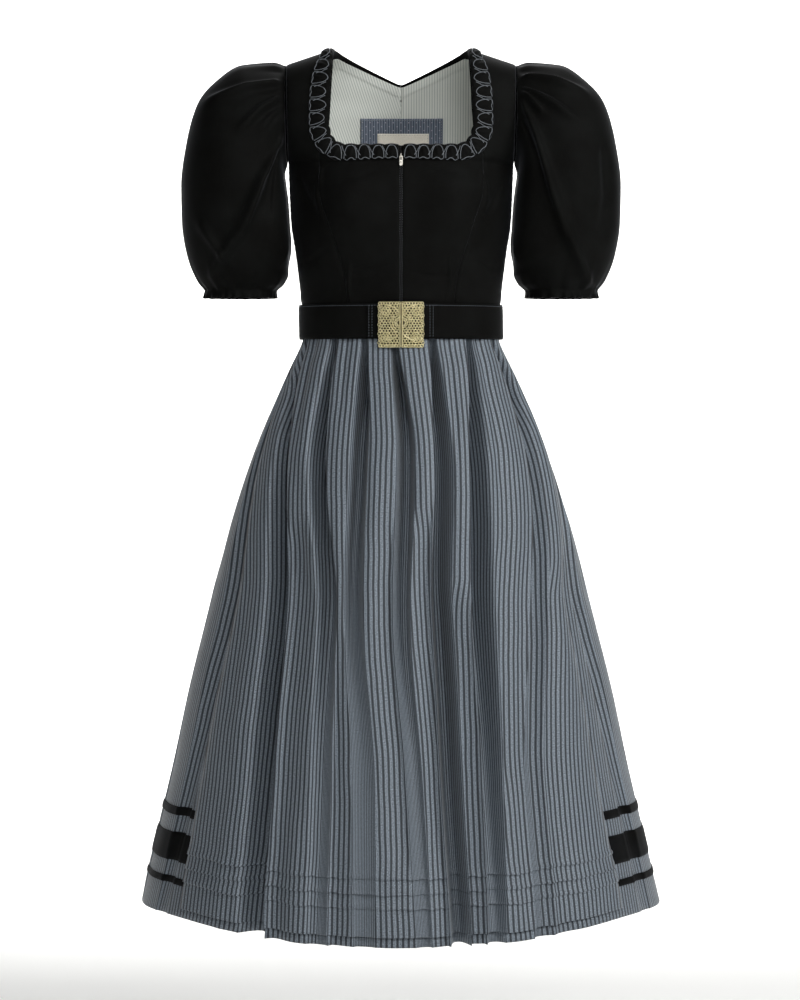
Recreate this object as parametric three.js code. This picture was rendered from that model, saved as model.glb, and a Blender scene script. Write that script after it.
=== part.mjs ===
import * as THREE from 'three';

// Millimetres, +Z up. The origin is midway between the shoulder tops, the front faces -Y
// and +X is the wearer's left.

// Cloth and seams
const VELVET = 1.6;
const COTTON = 1.4;
const SEAM_GAP = 0.3;

// Bodice levels and reaches
const SHOULDER_Z = 13.4;
const NECK_POINT_X = 87;
const SHOULDER_SLOPE = 0.33;
const ARMHOLE_MIDDLE_Z = -70;
const ARMPIT_Z = -138;
const ARMHOLE_HALF_DEPTH = 52;
const BODICE_HEM_Z = -343.7;
const FRONT_NECK_Z = -119;
const BACK_NECK_Z = -24;
const BACK_NECK_ROUND = 6;

// Belt and clasp
const BELT_TOP_Z = -321.5;
const BELT_BOTTOM_Z = -367;
const BELT_HALF_WIDTH = 134.6;
const BELT_FRONT = 101.8;
const BELT_BACK = 95.6;
const BELT_THICKNESS = 2;
const BELT_FOLD_ANGLE = 19.1;
const CLASP_HALF_WIDTH = 29.5;
const CLASP_TOP_Z = -319.8;
const CLASP_BOTTOM_Z = -378.3;

// Skirt and apron
const HEM_SIDE_Z = -1106;
const HEM_FRONT_DIP = 9;
const HEM_SIDE_LIFT = 8;
const HEM_LIFT_BEARING = 53;
const APRON_ABOVE_HEM = 12;
const APRON_LIFT = 4.9;
const TUCK_HEIGHT = 1.8;
const PANEL_BULGE = 2.5;

const COLOURS = {
  velvet: 0x17171a,
  cord: 0x2f3238,
  stripe: 0x6c7480,
  ribbon: 0x141417,
  lining: 0xcfd3cc,
  patch: 0x55617f,
  label: 0xe8dcd4,
  brass: 0xc9b878,
  steel: 0xd5d3cc,
};

// Short tables: each has its level first, and is read by a smooth curve through its rows.
// level, side reach of the bodice, front depth, back depth
const BODY = [
  [-343.7, 129.1, 96.8, 92.3],
  [-322, 131.8, 99, 92.8],
  [-316, 133, 100.8, 93.8],
  [-300, 134.2, 101.5, 93],
  [-277, 137, 104.5, 91],
  [-250, 140.5, 108.5, 91],
  [-215, 145.8, 112, 94],
  [-180, 147.6, 112, 98],
  [-138, 149, 100, 101],
  [-100, 149.3, 86, 99],
  [-60, 149.8, 79, 93],
  [-20, 150.4, 76, 86],
  [20, 151, 76, 80],
];
// level, princess seam or neck edge
const FRONT_SEAM = [
  [-343.7, 68],
  [-322, 69],
  [-281, 74.5],
  [-227, 91.5],
  [-175, 105.5],
  [-132, 106.5],
  [-112, 97],
  [-90, 94],
  [-40, 91],
  [14, 88],
];
// level, half width of the skirt
const SKIRT_LINE = [
  [-344, 129],
  [-367, 129.4],
  [-376, 132.4],
  [-402, 144.5],
  [-455, 167],
  [-508, 188.8],
  [-561, 207],
  [-614, 223],
  [-720, 249.5],
  [-825, 276],
  [-930, 298.5],
  [-1036, 324],
  [-1116, 343],
];
// levels at which the pleats are given
const PLEAT_LEVELS = [-367, -508, -705, -905, -1110];
// Pleats under and beside the apron: bearing, depth and half width of each trough at those
// levels, then the columns between this trough and the next.
const PLEATS = [
  { name: 'apron_edge_right', at: [-82.5, -76, -64, -63.6, -64.4], depth: [3, 9, 20, 20, 14], flank: [5, 14, 20, 20, 18], fill: 3 },
  { name: 'front_1', at: [-69.7, -52.7, -39.5, -36.2, -33.1], depth: [3, 16, 22, 20, 16], flank: [5, 14, 19, 20, 20], fill: 1 },
  { name: 'front_2', at: [-41.2, -33.7, -22, -19.6, -17.7], depth: [3, 18, 13, 4, 2], flank: [5, 13, 14, 14, 14], fill: 1 },
  { name: 'front_3', at: [-21, -16, -13.7, -9, -7.6], depth: [3, 18, 10, 3, 2], flank: [5, 12, 12, 14, 14], fill: 1 },
  { name: 'front_4', at: [-4, 1.8, 0.2, 3.1, 4.9], depth: [3, 18, 11, 3, 2], flank: [5, 12, 11, 10, 10], fill: 1 },
  { name: 'front_5', at: [18.3, 16.2, 12, 12.2, 12.6], depth: [3, 20, 23, 20, 14], flank: [5, 12, 13, 14, 13], fill: 1 },
  { name: 'front_6', at: [42.3, 30.8, 24.5, 22.5, 20.2], depth: [3, 20, 22, 14, 6], flank: [5, 13, 16, 14, 12], fill: 1 },
  { name: 'front_7', at: [66, 60, 44.7, 33.9, 31.5], depth: [3, 14, 10, 5, 4], flank: [5, 14, 16, 14, 14], fill: 3 },
  { name: 'apron_edge_left', at: [82, 84, 68.3, 68.4, 67.6], depth: [3, 7, 20, 18, 13], flank: [5, 13, 18, 20, 18], fill: 1 },
  { name: 'back_1', at: [101, 101, 97, 96, 95], depth: [3, 12, 16, 13, 11], flank: [5, 13, 16, 16, 16], fill: 1 },
  { name: 'back_2', at: [119, 116, 113, 112, 111], depth: [3, 18, 20, 16, 13], flank: [5, 13, 17, 18, 17], fill: 1 },
  { name: 'back_3', at: [137, 133, 131, 130, 129], depth: [3, 16, 10, 5, 3], flank: [5, 13, 15, 15, 15], fill: 1 },
  { name: 'back_4', at: [156, 153, 150, 148, 146], depth: [3, 20, 22, 16, 10], flank: [5, 13, 17, 18, 17], fill: 1 },
  { name: 'back_5', at: [175, 173, 171, 168, 166], depth: [3, 17, 12, 6, 4], flank: [5, 13, 15, 15, 15], fill: 1 },
  { name: 'back_6', at: [195, 194, 193, 191, 190], depth: [3, 20, 24, 20, 14], flank: [5, 13, 17, 19, 18], fill: 1 },
  { name: 'back_7', at: [214, 214, 213, 213, 212], depth: [3, 16, 12, 5, 3], flank: [5, 13, 15, 15, 15], fill: 1 },
  { name: 'back_8', at: [233, 233, 234, 234, 234], depth: [3, 18, 20, 16, 12], flank: [5, 13, 17, 18, 17], fill: 1 },
  { name: 'back_9', at: [253, 254, 255, 256, 257], depth: [3, 13, 18, 14, 11], flank: [5, 13, 16, 17, 16], fill: 1 },
];
const FIRST_APRON_PLEAT = 1;
const LAST_APRON_PLEAT = 7;
// bearing of the apron's side edges at the pleat levels
const APRON_EDGE_RIGHT = [-75.8, -67.5, -56.5, -58.2, -56.5];
const APRON_EDGE_LEFT = [75.8, 75.5, 57.5, 55.5, 56.7];
// levels of the tucks' lower edges above the apron's hem
const TUCKS = [67.7, 50, 33];
// velvet ribbons: lower and upper edge above the skirt's hem at the side
const RIBBONS = [
  ['ribbon_top', 122.5, 133.5],
  ['ribbon_middle', 66, 101.5],
  ['ribbon_bottom', 38, 46.5],
];
const SKIRT_ROWS = [-344, -367, -402, -455, -525, -620, -760, -910, -978, -1022, -1063.5, -1106];

// Sleeve rings: outer point x and z, inner point x and z, half depth in Y, height of the head
// gathers, height of the cuff gathers, reach of the inner side round the bodice
const SLEEVE = [
  [151.1, -8.1, 149.4, -138, 52, 0, 0, 0],
  [170, -5.5, 152.6, -150, 63, 2.2, 0, 1],
  [208, -8, 154, -168, 75, 2.6, 0, 5],
  [242, -28, 154, -192, 83, 1.6, 0, 8],
  [266, -56, 153.5, -214, 87, 0.6, 0, 9],
  [281, -105, 151.5, -236, 88, 0, 0, 9],
  [289, -165, 149.5, -252, 85, 0, 0.6, 8],
  [288, -215, 148, -266, 79, 0, 1.6, 5],
  [280, -262, 148, -280, 68, 0, 2.6, 1],
  [267, -292, 154, -294, 54, 0, 2.8, 0],
  [258.6, -303, 163.4, -304, 46, 0, 1.6, 0],
  [259.5, -312.5, 162.5, -312.5, 47, 0, 3, 0],
];
const SLEEVE_COLUMNS = 26;
const HEAD_GATHERS = 7;
const CUFF_GATHERS = 13;

// Neck trim: inner edge x and z, width, from the shoulder to the centre front
const TRIM_PATH = [
  [87.5, 12.4, 13],
  [88.5, -6, 18],
  [90.5, -30, 24],
  [92, -60, 26],
  [92.6, -88, 26],
  [90, -103, 25],
  [82, -113.5, 23],
  [70, -117.5, 21],
  [38, -117.8, 20.5],
  [3.2, -117.8, 20],
];
const TRIM_PUFFS = 13;
const TRIM_STATIONS = 38;
const TRIM_SEAT = 0.9;

const lerp = (a, b, t) => a + (b - a) * t;
const clamp = (v, a, b) => Math.min(b, Math.max(a, v));
const radians = (degrees) => (degrees * Math.PI) / 180;

// Smooth curve through values given at increasing or decreasing levels.
function smoothAt(levels, values, level) {
  const n = levels.length;
  const sign = levels[n - 1] > levels[0] ? 1 : -1;
  let i = 0;
  while (i < n - 2 && (level - levels[i + 1]) * sign > 0) {
    i += 1;
  }
  const step = levels[i + 1] - levels[i];
  const t = clamp((level - levels[i]) / step, 0, 1);
  const slope = (k) => {
    if (k === 0 || k === n - 1) {
      const a = k === 0 ? 0 : n - 2;
      return (values[a + 1] - values[a]) / (levels[a + 1] - levels[a]);
    }
    const before = (values[k] - values[k - 1]) / (levels[k] - levels[k - 1]);
    const after = (values[k + 1] - values[k]) / (levels[k + 1] - levels[k]);
    return before * after <= 0 ? 0 : (2 * before * after) / (before + after);
  };
  const t2 = t * t;
  const t3 = t2 * t;
  return (
    values[i] * (2 * t3 - 3 * t2 + 1) +
    values[i + 1] * (3 * t2 - 2 * t3) +
    step * (slope(i) * (t3 - 2 * t2 + t) + slope(i + 1) * (t3 - t2))
  );
}

function column(table, name, level) {
  return smoothAt(table.map((row) => row[0]), table.map((row) => row[name]), level);
}

// ---------------------------------------------------------------------------------------
// Walls: a grid of points (rows of columns) and a second grid behind it make a closed body.

function gridNormals(grid, closed) {
  const rows = grid.length;
  const columns = grid[0].length;
  const facets = grid.map((row) => row.map(() => []));
  for (let r = 0; r < rows - 1; r += 1) {
    for (let c = 0; c < (closed ? columns : columns - 1); c += 1) {
      const d = (c + 1) % columns;
      const across = grid[r + 1][d].clone().sub(grid[r][c]);
      const back = grid[r + 1][c].clone().sub(grid[r][d]);
      const normal = across.cross(back).normalize();
      for (const [i, j] of [[r, c], [r, d], [r + 1, c], [r + 1, d]]) {
        facets[i][j].push(normal);
      }
    }
  }
  return facets.map((row) =>
    row.map((list) => {
      const sum = new THREE.Vector3();
      list.forEach((normal) => sum.add(normal));
      sum.normalize();
      const fit = list.reduce((total, normal) => total + normal.dot(sum), 0) / list.length;
      return sum.divideScalar(Math.max(fit, 0.72));
    }),
  );
}

function offsetGrid(grid, distance, closed = false) {
  const normals = gridNormals(grid, closed);
  return grid.map((row, r) => row.map((p, c) => p.clone().addScaledVector(normals[r][c], distance)));
}

function shell(front, back, closed = false) {
  const rows = front.length;
  const columns = front[0].length;
  const positions = [];
  front.flat().forEach((p) => positions.push(p.x, p.y, p.z));
  back.flat().forEach((p) => positions.push(p.x, p.y, p.z));
  const f = (r, c) => r * columns + (c % columns);
  const b = (r, c) => rows * columns + f(r, c);
  const index = [];
  const quad = (p, q, s, t) => index.push(p, q, s, p, s, t);
  const last = closed ? columns : columns - 1;
  for (let r = 0; r < rows - 1; r += 1) {
    for (let c = 0; c < last; c += 1) {
      quad(f(r, c), f(r, c + 1), f(r + 1, c + 1), f(r + 1, c));
      index.push(b(r, c), b(r + 1, c), b(r + 1, c + 1), b(r, c), b(r + 1, c + 1), b(r, c + 1));
    }
    if (!closed) {
      quad(f(r, 0), f(r + 1, 0), b(r + 1, 0), b(r, 0));
      quad(f(r + 1, last), f(r, last), b(r, last), b(r + 1, last));
    }
  }
  for (let c = 0; c < last; c += 1) {
    quad(f(0, c + 1), f(0, c), b(0, c), b(0, c + 1));
    quad(f(rows - 1, c), f(rows - 1, c + 1), b(rows - 1, c + 1), b(rows - 1, c));
  }
  return facingOut(positions, index);
}

function facingOut(positions, index) {
  const point = (i) => new THREE.Vector3().fromArray(positions, i * 3);
  let volume = 0;
  for (let i = 0; i < index.length; i += 3) {
    volume += point(index[i]).dot(point(index[i + 1]).cross(point(index[i + 2])));
  }
  if (volume < 0) {
    for (let i = 0; i < index.length; i += 3) {
      [index[i], index[i + 1]] = [index[i + 1], index[i]];
    }
  }
  const geometry = new THREE.BufferGeometry();
  geometry.setAttribute('position', new THREE.Float32BufferAttribute(positions, 3));
  geometry.setIndex(index);
  geometry.computeVertexNormals();
  return geometry;
}

// The second grid lies "distance" from the first, on the side of the mean point "towards".
function wall(grid, thickness, towards, closed = false) {
  const trial = offsetGrid(grid, 1, closed);
  let nearer = 0;
  grid.forEach((row, r) =>
    row.forEach((p, c) => {
      nearer += p.distanceTo(towards) - trial[r][c].distanceTo(towards);
    }),
  );
  const side = nearer > 0 ? 1 : -1;
  return { side, geometry: shell(grid, offsetGrid(grid, side * thickness, closed), closed) };
}

function layer(grid, near, far, towards, closed = false) {
  const { side } = wall(grid, 1, towards, closed);
  return shell(offsetGrid(grid, side * near, closed), offsetGrid(grid, side * far, closed), closed);
}

function mirrored(geometry) {
  const copy = geometry.clone();
  const position = copy.getAttribute('position');
  for (let i = 0; i < position.count; i += 1) {
    position.setX(i, -position.getX(i));
  }
  const index = copy.getIndex();
  for (let i = 0; i < index.count; i += 3) {
    const first = index.getX(i);
    index.setX(i, index.getX(i + 1));
    index.setX(i + 1, first);
  }
  copy.computeVertexNormals();
  return copy;
}

const INSIDE = new THREE.Vector3(0, 0, -200);

const dress = new THREE.Group();
dress.name = 'velvet_dirndl';

function add(name, geometry, colour, roughness = 0.9, metalness = 0) {
  const material = new THREE.MeshStandardMaterial({ color: colour, roughness, metalness });
  material.side = THREE.FrontSide;
  const mesh = new THREE.Mesh(geometry, material);
  mesh.name = name;
  dress.add(mesh);
}

// ---------------------------------------------------------------------------------------
// Bodice

// Sections are ellipses at the waist and fuller above it.
function crown(u, z) {
  const power = lerp(2, 2.2, clamp((z + 305) / 60, 0, 1));
  return (1 - clamp(Math.abs(u), 0, 1) ** power) ** (1 / power);
}

function ridgeZ(x) {
  const beyond = Math.abs(x) - NECK_POINT_X;
  return SHOULDER_Z - (beyond > 0 ? SHOULDER_SLOPE : 0.5) * beyond;
}

function armholeDepth(z) {
  if (z >= ARMHOLE_MIDDLE_Z) {
    return ARMHOLE_HALF_DEPTH;
  }
  const t = (ARMHOLE_MIDDLE_Z - z) / (ARMHOLE_MIDDLE_Z - ARMPIT_Z);
  return ARMHOLE_HALF_DEPTH * Math.sqrt(Math.max(0, 1 - t * t));
}

function shoulderArch(x, z) {
  if (z <= ARMHOLE_MIDDLE_Z) {
    return 1;
  }
  const a = clamp((z - ARMHOLE_MIDDLE_Z) / (ridgeZ(x) - ARMHOLE_MIDDLE_Z), 0, 1);
  return (1 - a ** 2.4) ** (1 / 2.4);
}

function bust(x, z) {
  return 12 * Math.exp(-(((Math.abs(x) - 73) / 36) ** 2) - ((z + 190) / 52) ** 2);
}

function bodyY(x, z, back) {
  const reach = column(BODY, 1, z);
  const depth = column(BODY, back ? 3 : 2, z) + (back ? 0 : bust(x, z));
  const edge = Math.min(armholeDepth(z), depth);
  const y = edge + (depth - edge) * crown(x / reach, z);
  return Math.max(0.2, y * shoulderArch(x, z)) * (back ? 1 : -1);
}

// Rows from the waist to the shoulder: levels, then shares of the way up to the ridge.
const FRONT_ROWS = [BODICE_HEM_Z, -322, -316, -295, -260, -225, -190, -165, -148, -138, -128, FRONT_NECK_Z, -106, -88];
const BACK_ROWS = [BODICE_HEM_Z, -322, -316, -290, -245, -195, -150, -110];
const SHOULDER_ROWS = [0, 0.35, 0.62, 0.82, 0.94, 0.99, 1];

function bodiceGrid(insideEdge, outsideEdge, columns, back, rows, topRows, topZ) {
  const grid = [];
  for (const z of rows) {
    const row = [];
    for (let c = 0; c <= columns; c += 1) {
      const t = 1 - (1 - c / columns) ** 1.35;
      const x = lerp(insideEdge(z), outsideEdge(z), t);
      row.push(new THREE.Vector3(x, bodyY(x, z, back), z));
    }
    grid.push(row);
  }
  for (const share of topRows) {
    const row = [];
    const nominal = lerp(ARMHOLE_MIDDLE_Z, SHOULDER_Z - 8, share);
    for (let c = 0; c <= columns; c += 1) {
      const t = 1 - (1 - c / columns) ** 1.35;
      const x = lerp(insideEdge(nominal), outsideEdge(nominal), t);
      const z = lerp(ARMHOLE_MIDDLE_Z, topZ(x), share);
      row.push(new THREE.Vector3(x, bodyY(x, z, back), z));
    }
    grid.push(row);
  }
  return grid;
}

const sideReach = (z) => column(BODY, 1, z);

const frontSide = bodiceGrid(
  (z) => column(FRONT_SEAM, 1, z) + SEAM_GAP / 2,
  sideReach,
  5,
  false,
  FRONT_ROWS,
  SHOULDER_ROWS,
  ridgeZ,
);
// A bodice panel keeps to its own side of every seam, through the whole thickness.
function panel(grid, back, innerX) {
  const { side } = wall(grid, 1, INSIDE);
  const lining = offsetGrid(grid, side * VELVET);
  lining.forEach((row, r) =>
    row.forEach((p, c) => {
      p.y = back ? Math.max(p.y, 0.2) : Math.min(p.y, -0.2);
      p.x = c === 0 ? grid[r][0].x : Math.max(p.x, grid[r][0].x);
      if (innerX && c === row.length - 1) {
        p.x = Math.min(p.x, grid[r][c].x);
      }
    }),
  );
  return shell(grid, lining);
}

const frontSideWall = panel(frontSide, false, false);
add('bodice_front_side_left', frontSideWall, COLOURS.velvet);
add('bodice_front_side_right', mirrored(frontSideWall), COLOURS.velvet);

function frontCentreGrid() {
  const rows = FRONT_ROWS.filter((z) => z <= FRONT_NECK_Z);
  return rows.map((z) => {
    const outer = column(FRONT_SEAM, 1, z) - SEAM_GAP / 2;
    const row = [];
    for (let c = 0; c <= 5; c += 1) {
      const x = lerp(SEAM_GAP, outer, c / 5);
      row.push(new THREE.Vector3(x, bodyY(x, z, false), z));
    }
    return row;
  });
}

const frontCentreWall = panel(frontCentreGrid(), false, true);
add('bodice_front_centre_left', frontCentreWall, COLOURS.velvet);
add('bodice_front_centre_right', mirrored(frontCentreWall), COLOURS.velvet);

function backTopZ(x) {
  const ax = Math.abs(x);
  if (ax >= NECK_POINT_X) {
    return ridgeZ(x);
  }
  const slope = (SHOULDER_Z - BACK_NECK_Z) / (NECK_POINT_X - BACK_NECK_ROUND);
  if (ax <= BACK_NECK_ROUND) {
    return BACK_NECK_Z + (slope * ax * ax) / (2 * BACK_NECK_ROUND);
  }
  return Math.min(SHOULDER_Z, BACK_NECK_Z + slope * (ax - BACK_NECK_ROUND / 2));
}

// The back's columns stand at chosen shares so that one falls on each neck point.
const BACK_SHARES = [0, 0.09, 0.22, 0.4, 0.575, 0.72, 0.86, 0.95, 1];

function backGrid(shares, topRows) {
  const xAt = (share, z) => Math.max(SEAM_GAP / 2, share * sideReach(z));
  const grid = BACK_ROWS.map((z) =>
    shares.map((share) => {
      const x = xAt(share, z);
      return new THREE.Vector3(x, bodyY(x, z, true), z);
    }),
  );
  for (const share of topRows) {
    grid.push(
      shares.map((part) => {
        const x = xAt(part, lerp(ARMHOLE_MIDDLE_Z, SHOULDER_Z - 8, share));
        const z = lerp(ARMHOLE_MIDDLE_Z, backTopZ(x), share);
        return new THREE.Vector3(x, bodyY(x, z, true), z);
      }),
    );
  }
  return grid;
}

const backWall = panel(backGrid(BACK_SHARES, SHOULDER_ROWS), true, false);
add('bodice_back_left', backWall, COLOURS.velvet);
add('bodice_back_right', mirrored(backWall), COLOURS.velvet);

const LINING_DEPTH = VELVET + 0.5;

// Lining of the back, in two halves from the centre seam to the arms, with patch and label.
const lining = layer(
  backGrid(BACK_SHARES.slice(0, -1), SHOULDER_ROWS.slice(0, -2)),
  LINING_DEPTH,
  LINING_DEPTH + 0.8,
  INSIDE,
);
add('lining_back_left', lining, COLOURS.lining);
add('lining_back_right', mirrored(lining), COLOURS.lining);

function patchGrid(x0, x1, z0, z1, columns, rows) {
  const grid = [];
  for (let r = 0; r <= rows; r += 1) {
    const z = lerp(z0, z1, r / rows);
    const row = [];
    for (let c = 0; c <= columns; c += 1) {
      const x = lerp(x0, x1, c / columns);
      row.push(new THREE.Vector3(x, bodyY(x, z, true), z));
    }
    grid.push(row);
  }
  return grid;
}

const PATCH_DEPTH = LINING_DEPTH + 1.8;
add('lining_patch', layer(patchGrid(-55, 57, -147, -68, 8, 4), PATCH_DEPTH, PATCH_DEPTH + 0.8, INSIDE), COLOURS.patch);
add('label', layer(patchGrid(-32, 38, -134, -88, 4, 2), PATCH_DEPTH + 1.4, PATCH_DEPTH + 2.1, INSIDE), COLOURS.label);

// ---------------------------------------------------------------------------------------
// Ruched velvet trim along the front neck

function trimGrids() {
  const steps = TRIM_PATH.map((row, i) => i);
  const across = [0, 0.22, 0.78, 1];
  const outer = [];
  const inner = [];
  for (let s = 0; s < TRIM_STATIONS; s += 1) {
    const share = s / (TRIM_STATIONS - 1);
    const at = (share ** 0.96) * (TRIM_PATH.length - 1);
    const read = (k, q) => smoothAt(steps, TRIM_PATH.map((row) => row[k]), clamp(q, 0, TRIM_PATH.length - 1));
    const x = read(0, at);
    const z = read(1, at);
    const width = read(2, at);
    const run = new THREE.Vector2(read(0, at + 0.05) - read(0, at - 0.05), read(1, at + 0.05) - read(1, at - 0.05));
    run.normalize();
    const out = new THREE.Vector2(-run.y, run.x);
    const puff = Math.abs(Math.sin(Math.PI * TRIM_PUFFS * share));
    const scallop = 1.4 * puff - 0.7;
    const rowOut = [];
    const rowIn = [];
    across.forEach((u) => {
      const reach = lerp(-scallop, width + scallop, u);
      const px = x + out.x * reach;
      const pz = Math.min(z + out.y * reach, ridgeZ(px) - 0.4);
      const y = bodyY(px, pz, false);
      const eps = 0.5;
      const slopeX = (bodyY(px + eps, pz, false) - bodyY(px - eps, pz, false)) / (2 * eps);
      const slopeZ = (bodyY(px, pz, false) - bodyY(px, pz - eps, false)) / eps;
      const normal = new THREE.Vector3(slopeX, -1, clamp(slopeZ, -3, 3)).normalize();
      const ridge = Math.sin(Math.PI * clamp(u, 0, 1)) ** 0.7;
      const height = 1.4 + ridge * (1 + 3.2 * puff);
      rowOut.push(new THREE.Vector3(px, y, pz).addScaledVector(normal, TRIM_SEAT + height));
      rowIn.push(new THREE.Vector3(px, y, pz).addScaledVector(normal, TRIM_SEAT));
    });
    outer.push(rowOut);
    inner.push(rowIn);
  }
  return [outer, inner];
}

const trim = shell(...trimGrids());
add('neck_trim_left', trim, COLOURS.velvet);
add('neck_trim_right', mirrored(trim), COLOURS.velvet);

// ---------------------------------------------------------------------------------------
// Puff sleeves

function sleeveGrid() {
  const middle = (row) => [(row[0] + row[2]) / 2, (row[1] + row[3]) / 2];
  return SLEEVE.map((row) => {
    const [cx, cz] = middle(row);
    const along = new THREE.Vector2(row[0] - row[2], row[1] - row[3]);
    const half = along.length() / 2;
    along.normalize();
    const ring = [];
    for (let c = 0; c < SLEEVE_COLUMNS; c += 1) {
      const a = (c / SLEEVE_COLUMNS) * Math.PI * 2;
      const upper = 0.5 + 0.5 * Math.cos(a);
      const wave = row[5] * upper * Math.cos(HEAD_GATHERS * a) + row[6] * Math.cos(CUFF_GATHERS * a);
      const inner = Math.cos(a) < 0 ? row[7] / 9 : 0;
      const power = 2 / (2 + inner);
      const v = Math.sign(Math.sin(a)) * Math.abs(Math.sin(a)) ** power * (row[4] + wave);
      const reach = row[7] * Math.min(1, (v / 45) ** 2) * Math.max(0, -Math.cos(a)) ** 0.5;
      const u = Math.sign(Math.cos(a)) * Math.abs(Math.cos(a)) ** power * (half + wave);
      ring.push(new THREE.Vector3(cx + along.x * u - reach, v, cz + along.y * u));
    }
    return ring;
  });
}

const sleeve = sleeveGrid();
const sleeveSide = wall(sleeve, 1, new THREE.Vector3(215, 0, -160), true).side;
const sleeveWall = shell(sleeve, offsetGrid(sleeve, sleeveSide * VELVET, true), true);
add('sleeve_left', sleeveWall, COLOURS.velvet);
add('sleeve_right', mirrored(sleeveWall), COLOURS.velvet);

// ---------------------------------------------------------------------------------------
// Belt and clasp

function ringPoint(angle, z, halfWidth, front, back, lift) {
  const a = radians(angle);
  const depth = Math.cos(a) > 0 ? front : back;
  const x = halfWidth * Math.sin(a);
  const y = -depth * Math.cos(a);
  const normal = new THREE.Vector3(x / halfWidth ** 2, y / depth ** 2, 0).normalize();
  return new THREE.Vector3(x, y, z).addScaledVector(normal, lift);
}

const beltPoint = (angle, z, lift) => ringPoint(angle, z, BELT_HALF_WIDTH, BELT_FRONT, BELT_BACK, lift);

function beltGrids() {
  const half = [2.4, 10, BELT_FOLD_ANGLE - 0.2, BELT_FOLD_ANGLE + 0.2, 29, 39, 49, 58, 67, 76, 85, 95, 105, 116, 127, 138, 150, 162, 172, 180];
  const angles = [...half, ...half.slice(0, -1).reverse().map((a) => 360 - a)];
  const rows = [BELT_BOTTOM_Z, BELT_TOP_Z];
  const doubled = (a) => (Math.min(a, 360 - a) < BELT_FOLD_ANGLE ? 1.5 : 0);
  const outer = rows.map((z) => angles.map((a) => beltPoint(a, z, doubled(a))));
  const inner = rows.map((z) => angles.map((a) => beltPoint(a, z, -BELT_THICKNESS)));
  return [outer, inner];
}

add('belt', shell(...beltGrids()), COLOURS.velvet);

// One half of the clasp: a lobed plate with a half rosette in relief towards the middle.
function claspHalf() {
  const columns = 8;
  const rows = 12;
  const middle = (CLASP_TOP_Z + CLASP_BOTTOM_Z) / 2;
  const height = (CLASP_TOP_Z - CLASP_BOTTOM_Z) / 2;
  const base = BELT_FRONT + 1.5 + SEAM_GAP + 0.8;
  const front = [];
  const back = [];
  for (let r = 0; r <= rows; r += 1) {
    const v = (r / rows) * 2 - 1;
    const rowFront = [];
    const rowBack = [];
    for (let c = 0; c <= columns; c += 1) {
      const u = c / columns;
      const sideLobe = 1.6 * Math.abs(Math.cos(2.5 * Math.PI * v));
      const endLobe = 1.4 * Math.abs(Math.sin(2 * Math.PI * u));
      const x = 0.4 + u * (CLASP_HALF_WIDTH - 2 + sideLobe * u);
      const z = middle + v * (height - 1.4 + endLobe * Math.abs(v));
      const d = Math.hypot(x * 1.05, z - middle);
      const ring = 0.5 + 0.5 * Math.cos((2 * Math.PI * d) / 8.4);
      const rim = Math.max(u ** 8, Math.abs(v) ** 12);
      const y = -base * Math.sqrt(1 - (x / BELT_HALF_WIDTH) ** 2);
      rowFront.push(new THREE.Vector3(x, y - 1.5 - 1.5 * ring * (1 - rim) - 0.9 * rim, z));
      rowBack.push(new THREE.Vector3(x, y, z));
    }
    front.push(rowFront);
    back.push(rowBack);
  }
  return shell(front, back);
}

const clasp = claspHalf();
add('clasp_left', clasp, COLOURS.brass, 0.35, 0.9);
add('clasp_right', mirrored(clasp), COLOURS.brass, 0.35, 0.9);

// ---------------------------------------------------------------------------------------
// Centre-front zip: tape behind the seam, slider and pull tab in front of it

function zipTape() {
  const rows = FRONT_ROWS.filter((z) => z <= FRONT_NECK_Z);
  const grid = rows.map((z) => [-9, 9].map((x) => new THREE.Vector3(x, bodyY(x, z, false), z)));
  return layer(grid, VELVET + SEAM_GAP, VELVET + SEAM_GAP + 1, INSIDE);
}

add('zip_tape', zipTape(), COLOURS.velvet);

// Slider and pull are drawn on the slope of the chest: "out" from the cloth, "up" along it.
const HINGE_Z = -135;
const HINGE_OUT = 2.8;
const chestSlope = Math.atan2(bodyY(0, HINGE_Z, false) - bodyY(0, HINGE_Z - 14, false), 14);
const OUT = new THREE.Vector3(0, -Math.cos(chestSlope), Math.sin(chestSlope));
const UP = new THREE.Vector3(0, Math.sin(chestSlope), Math.cos(chestSlope));
const ACROSS = new THREE.Vector3(1, 0, 0);
const slideSeat = new THREE.Vector3(0, bodyY(0, HINGE_Z, false), HINGE_Z);

function plate(outline, hole, thickness, [first, second, third], offset) {
  const shape = new THREE.Shape(outline.map(([a, b]) => new THREE.Vector2(a, b)));
  shape.holes.push(new THREE.Path(hole.map(([a, b]) => new THREE.Vector2(a, b))));
  const geometry = new THREE.ExtrudeGeometry(shape, { depth: thickness, bevelEnabled: false, steps: 1 });
  const place = new THREE.Matrix4().makeBasis(first, second, third);
  place.setPosition(slideSeat.clone().addScaledVector(third, offset));
  geometry.applyMatrix4(place);
  return welded(geometry);
}

function welded(geometry) {
  const seen = new Map();
  const positions = [];
  const index = [];
  const source = geometry.getAttribute('position');
  for (let i = 0; i < source.count; i += 1) {
    const p = [source.getX(i), source.getY(i), source.getZ(i)];
    const key = p.map((v) => Math.round(v * 1e4)).join();
    if (!seen.has(key)) {
      seen.set(key, positions.length / 3);
      positions.push(...p);
    }
    index.push(seen.get(key));
  }
  return facingOut(positions, index);
}

const slider = plate(
  [[0.4, -4.5], [0.4, 4.5], [2, 4.5], [4.4, 2.4], [4.4, -2.4], [2, -4.5]],
  [[1.9, -1.7], [3.7, -1.7], [3.7, 1.7], [1.9, 1.7]],
  1.2,
  [OUT, UP, ACROSS],
  -0.6,
);
add('zip_slider', slider, COLOURS.steel, 0.3, 0.9);

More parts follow.
